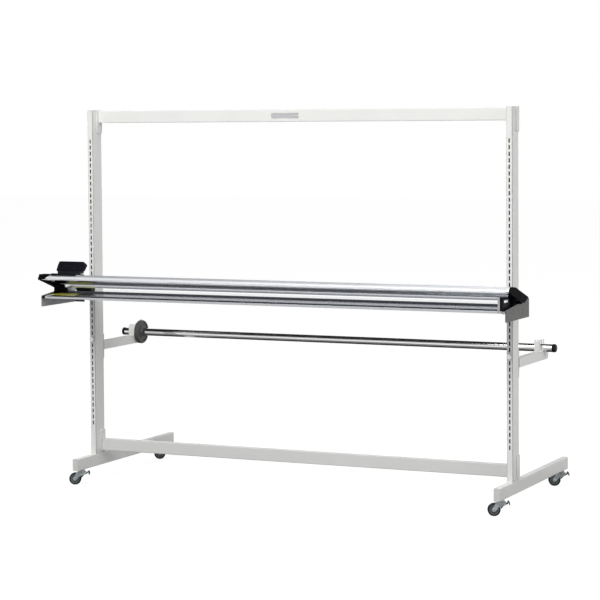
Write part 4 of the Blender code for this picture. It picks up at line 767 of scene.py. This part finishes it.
def addBase():
    look = baseLook
    front, rear, deck, wall, edge = (look[key] for key in ("front", "rear", "deck", "wall", "edgePlace"))
    lipTop, grooveFloor, grooveEnd = deck - look["fall"], deck - look["groove"], edge + look["grooveWidth"]
    webFoot, corner, step = deck - look["web"], look["corner"], look["step"]
    start, end = tableEnds()
    outline = [(front, lipTop - look["lip"]), *((front + y, lipTop + z) for y, z in look["lipNose"]), start]
    for share in look["tableLines"]:
        outline += notch(start, end, share, *look["tableLine"])
    outline += [end, (end[0], grooveFloor), (grooveEnd, grooveFloor), (grooveEnd, deck)]
    for share in look["deckLines"]:
        outline += notch((grooveEnd, deck), (rear, deck), share, *look["deckLine"])
    outline += [
        (rear - corner, deck), (rear, deck - corner), (rear, webFoot), (rear - wall, webFoot),
        (rear - wall, deck - wall), (grooveEnd + wall, deck - wall), (grooveEnd + wall, grooveFloor - wall),
        (edge - wall, grooveFloor - wall), (edge - wall, deck - step - wall - look["gap"]),
        (front + wall, lipTop - wall), (front + wall, lipTop - look["lip"]),
    ]
    shape = pushed(outline, -look["half"], look["half"], "X")
    name, soft = "cutter_base_extrusion", look["edge"]
    base = addPiece(name, shape, satinAluminium, "cutter_base", edge=soft)
    secondFinish(base, polishedAluminium, lambda side: side.normal.z > 0.8 and side.center.y > edge + face)
    secondFinish(base, tableAluminium, lambda side: side.normal.z > 0.8 and side.center.y < edge + face)
    # the lip's front face gets the darker copy as painted shade
    secondFinish(base, shadedAluminium, lambda side: (
        side.normal.y < -0.8 and side.center.y < front + look["skin"] + face))

def addStrip():
    look, edge = stripLook, baseLook["edgePlace"]
    foot = baseLook["deck"] - baseLook["groove"] + look["foot"]
    outline = softCorners(rect(edge, edge + look["width"], foot, look["top"]), look["corners"], 3)
    shape = pushed(outline, -baseLook["half"], baseLook["half"], "X")
    addPiece("cutting_strip_ground", shape, darkStripSteel, "cutting_strip")

addBase()
addStrip()
print("rail and base extruded")


# end caps and the plate in the right one's mouth

capLook = {
    "edge": 0.0013,
    "cheek": ((-0.176, 0.833), (-0.15, 0.8255), (-0.15, 0.8368), (-0.176, 0.8422)),
    "cheekX": (0.9756, 0.995), "cheekEdge": 0.0004,
    "tail": ((-0.196, 0.8776), (-0.0505, 0.8308), (-0.1, 0.8135), (-0.13, 0.82)),
    "tailX": (1.0002, 1.0152), "tailCorners": (0.001, 0.003, 0.003, 0.001), "tailEdge": 0.0008,
}
strapLook = {
    "sheet": 0.003, "window": (0.02, 0.068), "windowHeight": (0.823, 0.834), "plateEdge": 0.0005,
    "head": 0.847, "fall": -0.0967,                      # the plate's top edge leaves a gap under the rail
    "foot": 0.0004, "steeper": 1.1,                      # its lower edge leaves a gap over the table
    "flange": {"x": (0.9685, 0.977), "y": (-0.2714, -0.2684), "z": (0.7895, 0.8466)},
    "tab": {"x": (0.9872, 0.9968), "y": (-0.2722, -0.2698), "z": (0.783, 0.7935)},
    "lap": 0.001, "web": (0.0002, 0.003), "webTop": 0.0004, "lightEdge": 0.0008,
}

def addStrap():
    # an angle piece: a flange in front, a black plate with a window behind it; the flange and tab are light
    # grey as a painted highlight on the black strap's lit front edge
    look = strapLook
    low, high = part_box("mouth_strap")
    front, rear = low.y - face, high.y - face
    foot = baseLook["deck"] - baseLook["fall"] + look["foot"]
    slope = (baseLook["fall"] - baseLook["step"]) / (baseLook["edgePlace"] - baseLook["front"])
    rise = slope * look["steeper"]
    outer = [(y, foot + rise * (y - front)) for y in (front, rear)]
    outer += [(y, look["head"] + look["fall"] * (y - front)) for y in (rear, front)]
    left, right = (front + edge for edge in look["window"])
    plate = framed(outer, rect(left, right, *look["windowHeight"]), high.x - look["sheet"], high.x, "X")
    flange = brick(*(look["flange"][axis] for axis in "xyz"))
    webX = (look["flange"]["x"][1] - look["lap"], high.x)
    web = brick(webX, [front + edge for edge in look["web"]], (foot, look["head"] - look["webTop"]))
    tab = brick(*(look["tab"][axis] for axis in "xyz"))
    soft, light = look["plateEdge"], look["lightEdge"]
    addPiece("mouth_strap_plate", plate, coverPlastic, "mouth_strap", edge=soft)
    addPiece("mouth_strap_edge", flange, highlightPlastic, edge=light, steps=3)
    addPiece("mouth_strap_web", web, coverPlastic)
    addPiece("mouth_strap_tab", tab, highlightPlastic, edge=light, steps=3)

def addEndCaps():
    look = capLook
    for side in ("left", "right"):
        dressed("end_cap_" + side, capPlastic, look["edge"], 3)
    addStrap()
    cheek = pushed(look["cheek"], *look["cheekX"], "X")
    addPiece("end_cap_cheek_right", cheek, capPlastic, edge=look["cheekEdge"])
    tail = pushed(softCorners(look["tail"], look["tailCorners"]), *look["tailX"], "X")
    addPiece("end_cap_tail_right", tail, capPlastic, edge=look["tailEdge"], steps=3)

addEndCaps()


# cutting head

headLook = {
    "seam": -0.8225, "edge": 0.0022,
    # the cover's outline at four heights: height, left, right, front, cheek, rear
    "cover": (
        (0.8975, -0.932, -0.813, -0.2555, -0.245, -0.24),
        (0.901, -0.9352, -0.811, -0.2565, -0.2448, -0.234),
        (0.9225, -0.927, -0.806, -0.2572, -0.244, -0.223),
        (0.9375, -0.9215, -0.814, -0.2545, -0.248, -0.239),
    ),
    "skirt": {"x": (-0.93, -0.826), "y": (-0.256, -0.219), "z": (0.8879, 0.8985), "round": 0.003},
    "frame": {"x": (-0.9135, -0.8345), "z": (0.9035, 0.9305), "round": 0.004},
    "panel": {"x": (-0.9105, -0.8375), "z": (0.9065, 0.9275), "round": 0.003},
    "frameY": (-0.2581, -0.2545),
    "rib": {"x": (-0.8975, -0.895), "y": (-0.2577, -0.254), "z": (0.9165, 0.925)},
    "ribs": 7, "ribPitch": 0.0052,
    # under the pressing shoe
    "felt": {"x": (-0.9215, -0.8545), "y": (-0.1187, -0.0855), "z": (0.8063, 0.8087), "round": 0.002},
    "skirtEdge": 0.0008, "frameEdge": 0.0006, "ribEdge": 0.0005, "carriageEdge": 0.001,
}

def coverRing(z, left, right, front, cheek, rear):
    # one level of the cover, its right front corner cut off from the seam to the cheek
    seam = headLook["seam"]
    return [(left, front, z), (seam, front, z), (right, cheek, z), (right, rear, z), (left, rear, z)]

def slab(size):
    # a flat block with round corners
    return pushed(softCorners(rect(*size["x"], *size["y"]), size["round"]), *size["z"], "Z")

def addHead():
    look = headLook
    cover = stacked([coverRing(*level) for level in look["cover"]])
    addPiece("head_cover_shell", cover, coverPlastic, "head_cover", edge=look["edge"], steps=4)
    addPiece("head_cover_skirt", slab(look["skirt"]), blackPlastic, None, "head", look["skirtEdge"])
    rings = (look["frame"], look["panel"])
    lines = [softCorners(rect(*ring["x"], *ring["z"]), ring["round"]) for ring in rings]
    panel = framed(*lines, *look["frameY"], "Y")
    addPiece("head_cover_frame", panel, coverPlastic, None, "head", look["frameEdge"])
    rib, pitch = look["rib"], look["ribPitch"]
    ribs = [brick([x + pitch * k for x in rib["x"]], rib["y"], rib["z"]) for k in range(look["ribs"])]
    addPiece("head_cover_grip", together(*ribs), blackPlastic, None, "head", look["ribEdge"])
    for node in ("head_carriage", "blade_holder"):
        dressed(node, blackPlastic, look["carriageEdge"])
    addPiece("blade_holder_felt", slab(look["felt"]), blackPlastic, None, "head")
    dressed("rotary_blade", bladeSteel, 0.0)

addHead()
print("cutting head made")


# roll carrier

rollLook = {
    "radius": 0.0165, "half": 0.97, "centre": (0, 0.3725, 0.5937), "steps": 64,
    "wall": 0.002, "chamfer": 0.0004,
    # a cap, its heights counted from the tube's end
    "plug": (0.0023, -0.018), "lip": 0.0003, "rim": 0.007, "domeFoot": 0.008, "dome": 0.007,
    "capFace": ((0.004, 0.015), (0.0035, 0.0144), (0.0, 0.0144)),
}
flangeLook = {
    "thickness": 0.02, "rimMiddle": 0.045, "rimRound": 0.005, "steps": 96, "screwEdge": 0.0004,
    # from the bore over the hub to the dish, as radius and height
    "dish": (
        (0.0168, 0.0), (0.0262, 0.0), (0.0272, 0.001), (0.0272, 0.003), (0.028, 0.0038), (0.04, 0.0038),
        (0.0412, 0.0008),
    ),
}

def capLine(look):
    r, dome = look["radius"], look["dome"]
    inner, plugEnd = r - look["plug"][0], look["plug"][1]
    line = [(0.0, plugEnd), (inner, plugEnd), (inner, look["lip"]), (r, look["lip"]), (r, look["rim"])]
    return [*line, *arc(r - dome, look["domeFoot"], dome, 0, 10, 9), *look["capFace"]]

def addShaft():
    look = rollLook
    r, half, chamfer, steps = look["radius"], look["half"], look["chamfer"], look["steps"]
    bore = r - look["wall"]
    tube = [(bore, -half), (r - chamfer, -half), (r, -half + chamfer)]
    tube += [(radius, -height) for radius, height in reversed(tube)]
    addPiece("roll_shaft_tube", spun(tube, steps, "X", look["centre"], True), chrome, "roll_shaft")
    for way, side in ((-1, "left"), (1, "right")):
        line = [(radius, way * (half + height)) for radius, height in capLine(look)]
        cap = spun(line, steps, "X", look["centre"])
        addPiece("shaft_cap_moulded_" + side, cap, blackPlastic, "shaft_cap_" + side)

def addFlange():
    look = flangeLook
    start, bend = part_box("stop_flange")[0].x, look["rimRound"]
    line = [*look["dish"], *arc(look["rimMiddle"], bend, bend, -90, 15, 7)]
    line += [(radius, look["thickness"] - height) for radius, height in reversed(line)]
    line = [(radius, start + height) for radius, height in line]
    flange = spun(line, look["steps"], "X", rollLook["centre"], True)
    addPiece("stop_flange_moulded", flange, greyPlastic, "stop_flange")
    dressed("flange_screw", steel, look["screwEdge"])

addShaft()
addFlange()
print("roll carrier made")


# casters, each made with its stem on the Z axis and the wheel trailing along +X

casterLook = {
    "turn": radians(203), "places": {"front": -0.097, "rear": 0.632},
    "trail": 0.028, "wheel": 0.025, "tyreWidth": 0.018, "hub": 0.0185,
    "forkTop": 0.0534, "sheet": 0.0025, "gap": 0.0015, "play": 0.0003,
}
wheelHalf = casterLook["tyreWidth"] / 2
axle = (casterLook["trail"], 0, casterLook["wheel"])
forkInner = wheelHalf + casterLook["gap"]
forkOuter = forkInner + casterLook["sheet"]
forkTop = casterLook["forkTop"]

def mirrored(side):
    # one half of a wheel's line and the other
    return side + [(radius, -height) for radius, height in reversed(side)]

tyreLook = {
    "seat": ((0.0, -0.0014), (0.0006, -0.0004), (0.0016, 0.0)),   # from the hub's edge and the tyre's side
    "shoulder": 0.0036, "tread": (0.0006, 0.0005), "steps": 64,
}

def tyreShape():
    look, wheel, bend = tyreLook, casterLook["wheel"], tyreLook["shoulder"]
    line = [(casterLook["hub"] + out, wheelHalf + rise) for out, rise in look["seat"]]
    line += arc(wheel - bend, wheelHalf - bend, bend, 90, -15, 7)
    line += [(wheel, height) for height in look["tread"]]
    return spun(mirrored(line), look["steps"], "Y", axle, True)

hubLook = {
    # radius, and height over the tyre's side
    "face": (
        (0.0033, 0.0012), (0.006, 0.0012), (0.0065, 0.0006), (0.0068, -0.0022), (0.0075, -0.0026),
        (0.014, -0.0026), (0.0146, -0.0022), (0.015, -0.0004), (0.0156, 0.0),
    ),
    "rim": ((-0.0006, -0.0001), (0.0, -0.001)), "steps": 48,
    "spokes": 8, "spoke": {"reach": (0.006, 0.015), "half": 0.0007, "rise": (-0.003, -0.0006)},
}

def hubShape():
    look, spoke = hubLook, hubLook["spoke"]
    line = [(radius, wheelHalf + rise) for radius, rise in look["face"]]
    line += [(casterLook["hub"] + out, wheelHalf + rise) for out, rise in look["rim"]]
    parts = [spun(mirrored(line), look["steps"], "Y", axle, True)]
    low, high = (wheelHalf + rise for rise in spoke["rise"])
    for way in (-1, 1):
        for k in range(look["spokes"]):
            rib = brick(spoke["reach"], (-spoke["half"], spoke["half"]), (low, high))
            turn = Matrix.Rotation(2 * pi * k / look["spokes"], 4, "Z")
            rib.transform(Matrix.Translation(axle) @ Matrix.Rotation(-way * pi / 2, 4, "X") @ turn)
            parts.append(rib)
    return together(*parts)

forkLook = {
    "reach": (-0.018, 0.02), "corner": 0.0035, "boss": 0.0082,
    "cheekFoot": ((-0.018, 0.0434), (0.0046, 0.0354)), "cheekRound": 0.004,
}

def forkShape():
    look = forkLook
    rear, front = look["reach"]
    cheek = [(front, forkTop), (rear, forkTop), *look["cheekFoot"]]
    cheek = softCorners(cheek, (0, 0, look["cheekRound"], look["cheekRound"]))
    cheek += arc(axle[0], axle[2], look["boss"], -150, 20, 11)
    parts = [pushed(cheek, way * forkInner, way * forkOuter, "Y") for way in (-1, 1)]
    roof = softCorners(rect(rear, front, -forkOuter, forkOuter), look["corner"])
    parts.append(pushed(roof, forkTop - casterLook["sheet"], forkTop, "Z"))
    return together(*parts)

def smoothed(line, rounds):
    # corners of an open line cut off, again and again
    for _ in range(rounds):
        cut = [line[0]]
        for (x, z), (nextX, nextZ) in zip(line, line[1:]):
            cut.append((0.75 * x + 0.25 * nextX, 0.75 * z + 0.25 * nextZ))
            cut.append((0.25 * x + 0.75 * nextX, 0.25 * z + 0.75 * nextZ))
        line = cut + [line[-1]]
    return line

def ribbon(line, sheet):
    # the outline of a bent sheet along a line
    left, right = [], []
    for index, (x, z) in enumerate(line):
        before, after = Vector(line[max(index - 1, 0)]), Vector(line[min(index + 1, len(line) - 1)])
        way = (after - before).normalized() * sheet / 2
        left.append((x - way.y, z + way.x))
        right.append((x + way.y, z - way.x))
    return left + right[::-1]

pedalLook = {
    # a neck from the pin, then an arch
    "neck": ((-0.014, 0.0469), (-0.0205, 0.046), (-0.0238, 0.05)), "neckSheet": 0.003,
    "arch": ((-0.0238, 0.05), (-0.0256, 0.0552), (-0.0288, 0.0552), (-0.0306, 0.05), (-0.0312, 0.0425)),
    "sheet": 0.0034, "width": 0.028, "window": 0.015, "windowReach": (0.45, 0.8), "tongueSheet": 0.003,
    "barrel": 0.003, "pin": 0.0016, "pinEnd": 0.0025,
    # a shoe that stops just off the tyre, in the direction of shoeTurn from the axle
    "shoeTurn": radians(166), "shoeGap": 0.0009, "shoe": 0.0038, "shoeSteps": (-1, -0.3, 0.3, 1),
    "shoeRoot": 0.0015, "shoeHalf": 0.007,
}

def pedalShape():
    # an arched lever with a window, a barrel on its pin and a shoe towards the tyre
    look = pedalLook
    x, z = look["neck"][0]
    inner = forkInner - casterLook["play"]
    neck = smoothed(look["neck"], 1)
    arch = smoothed([neck[-2], *look["arch"]], 2)
    wide, rails = look["width"] / 2, look["window"] / 2
    first, last = (round(share * (len(arch) - 1)) for share in look["windowReach"])
    parts = [pushed(ribbon(neck, look["neckSheet"]), -inner, inner, "Y")]
    for way in (-1, 1):
        parts.append(pushed(ribbon(arch, look["sheet"]), way * rails, way * wide, "Y"))
    for part in (arch[:first + 1], arch[last:]):
        parts.append(pushed(ribbon(part, look["tongueSheet"]), -rails, rails, "Y"))
    parts.append(spun(rodLine(look["barrel"], -inner, inner), 24, "Y", (x, 0, z)))
    pinEnd = inner + look["pinEnd"]
    parts.append(spun(rodLine(look["pin"], -pinEnd, pinEnd), 16, "Y", (x, 0, z)))
    out = Vector((cos(look["shoeTurn"]), sin(look["shoeTurn"])))
    middle = Vector((axle[0], axle[2])) + out * (casterLook["wheel"] + look["shoeGap"])
    along = Vector((-out.y, out.x)) * look["shoe"]
    sole = [tuple(middle + along * k) for k in look["shoeSteps"]]
    root = look["shoeRoot"]
    shoe = [(x + root, z + root), *sole, (x - root, z - root)]
    parts.append(pushed(shoe, -look["shoeHalf"], look["shoeHalf"], "Y"))
    return together(*parts)

boltLook = {
    "rod": 0.003, "head": ((0.0, 0.0), (0.0055, 0.0), (0.0055, 0.0008), (0.0046, 0.0016), (0.0, 0.0018)),
    "nut": 0.0054, "nutHeight": 0.0016,
}

def axleShape():
    look = boltLook
    outer = forkOuter + casterLook["play"]
    rod = spun(rodLine(look["rod"], -outer, outer), 24, "Y", axle)
    head = spun([(radius, outer + rise) for radius, rise in look["head"]], 32, "Y", axle)
    nut = pushed(arc(axle[0], axle[2], look["nut"], 0, 60, 6), -outer, -outer - look["nutHeight"], "Y")
    return together(rod, head, nut)

stemLook = {
    # radius and height; those of the plate count from just over the fork
    "foot": (
        (0.0, 0.0476), (0.007, 0.0476), (0.0078, 0.0482), (0.008, 0.05), (0.008, 0.0506), (0.005, 0.0506),
    ),
    "plate": (
        (0.005, 0.0), (0.0162, 0.0), (0.017, 0.0006), (0.017, 0.0017), (0.0163, 0.0024), (0.0135, 0.0034),
        (0.012, 0.004),
    ),
    "thread": (
        (0.012, 0.0622), (0.0115, 0.0627), (0.006, 0.0627), (0.006, 0.0855), (0.0045, 0.087), (0.0, 0.087),
    ),
}

def stemShape():
    top = forkTop + casterLook["play"]
    plate = [(radius, top + rise) for radius, rise in stemLook["plate"]]
    return spun([*stemLook["foot"], *plate, *stemLook["thread"]], 48, "Z")

def addCaster(name, place):
    # kind, shape, finish, slot, solid, soft edge and its steps
    pieces = (
        ("tyre", tyreShape(), rubber, "tyre", "caster_wheel_", 0, 2),
        ("hub", hubShape(), hubPlastic, "zinc", None, 0, 2),
        ("forks", forkShape(), zinc, "zinc", "caster_fork_", 0.0008, 3),
        ("bolt", axleShape(), zinc, "zinc", "caster_axle_", 0.0003, 2),
        ("post", stemShape(), zinc, "zinc", "caster_stem_", 0, 2),
        ("brake", pedalShape(), greyPlastic, "grey_plastic", "brake_pedal_", 0.0005, 2),
    )
    wheel = "wheel_" + name
    for kind, shape, material, slot, solid, edge, steps in pieces:
        node = solid + name if solid else None
        addPiece("caster_" + kind + "_" + name, shape, material, node, wheel, edge, steps, place)

def addCasters():
    for side, way in (("left", -1), ("right", 1)):
        for end, y in casterLook["places"].items():
            turn = Matrix.Rotation(casterLook["turn"], 4, "Z")
            addCaster(end + "_" + side, Matrix.Translation((way * spacing / 2, y + face, 0)) @ turn)

addCasters()
print("casters made")


# labels and trim

trimLook = {
    "round": 0.002,
    "label": {"x": (-0.9825, -0.865), "y": (-0.242, -0.16), "z": (0.00002, 0.00022)},
    "plate": {"x": (-0.105, 0.015), "z": (1.5125, 1.5335), "y": (-0.0011, -0.0001), "edge": 0.0002},
}

def addLabel():
    # it lies on the table's slope
    look = trimLook["label"]
    (startY, startZ), end = tableEnds()
    slope = (end[1] - startZ) / (baseLook["edgePlace"] - startY)
    corners = softCorners(rect(*look["x"], *look["y"]), trimLook["round"])
    levels = [[(x, y, startZ + (y - startY) * slope + lift) for x, y in corners] for lift in look["z"]]
    addPiece("blank_label", stacked(levels), label)

def addPlate():
    look = trimLook["plate"]
    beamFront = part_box("top_beam")[0].y - face
    outline = softCorners(rect(*look["x"], *look["z"]), trimLook["round"])
    shape = pushed(outline, *(beamFront + y for y in look["y"]), "Y")
    addPiece("bare_plate", shape, steel, edge=look["edge"])

addLabel()
addPlate()
print("trim made")
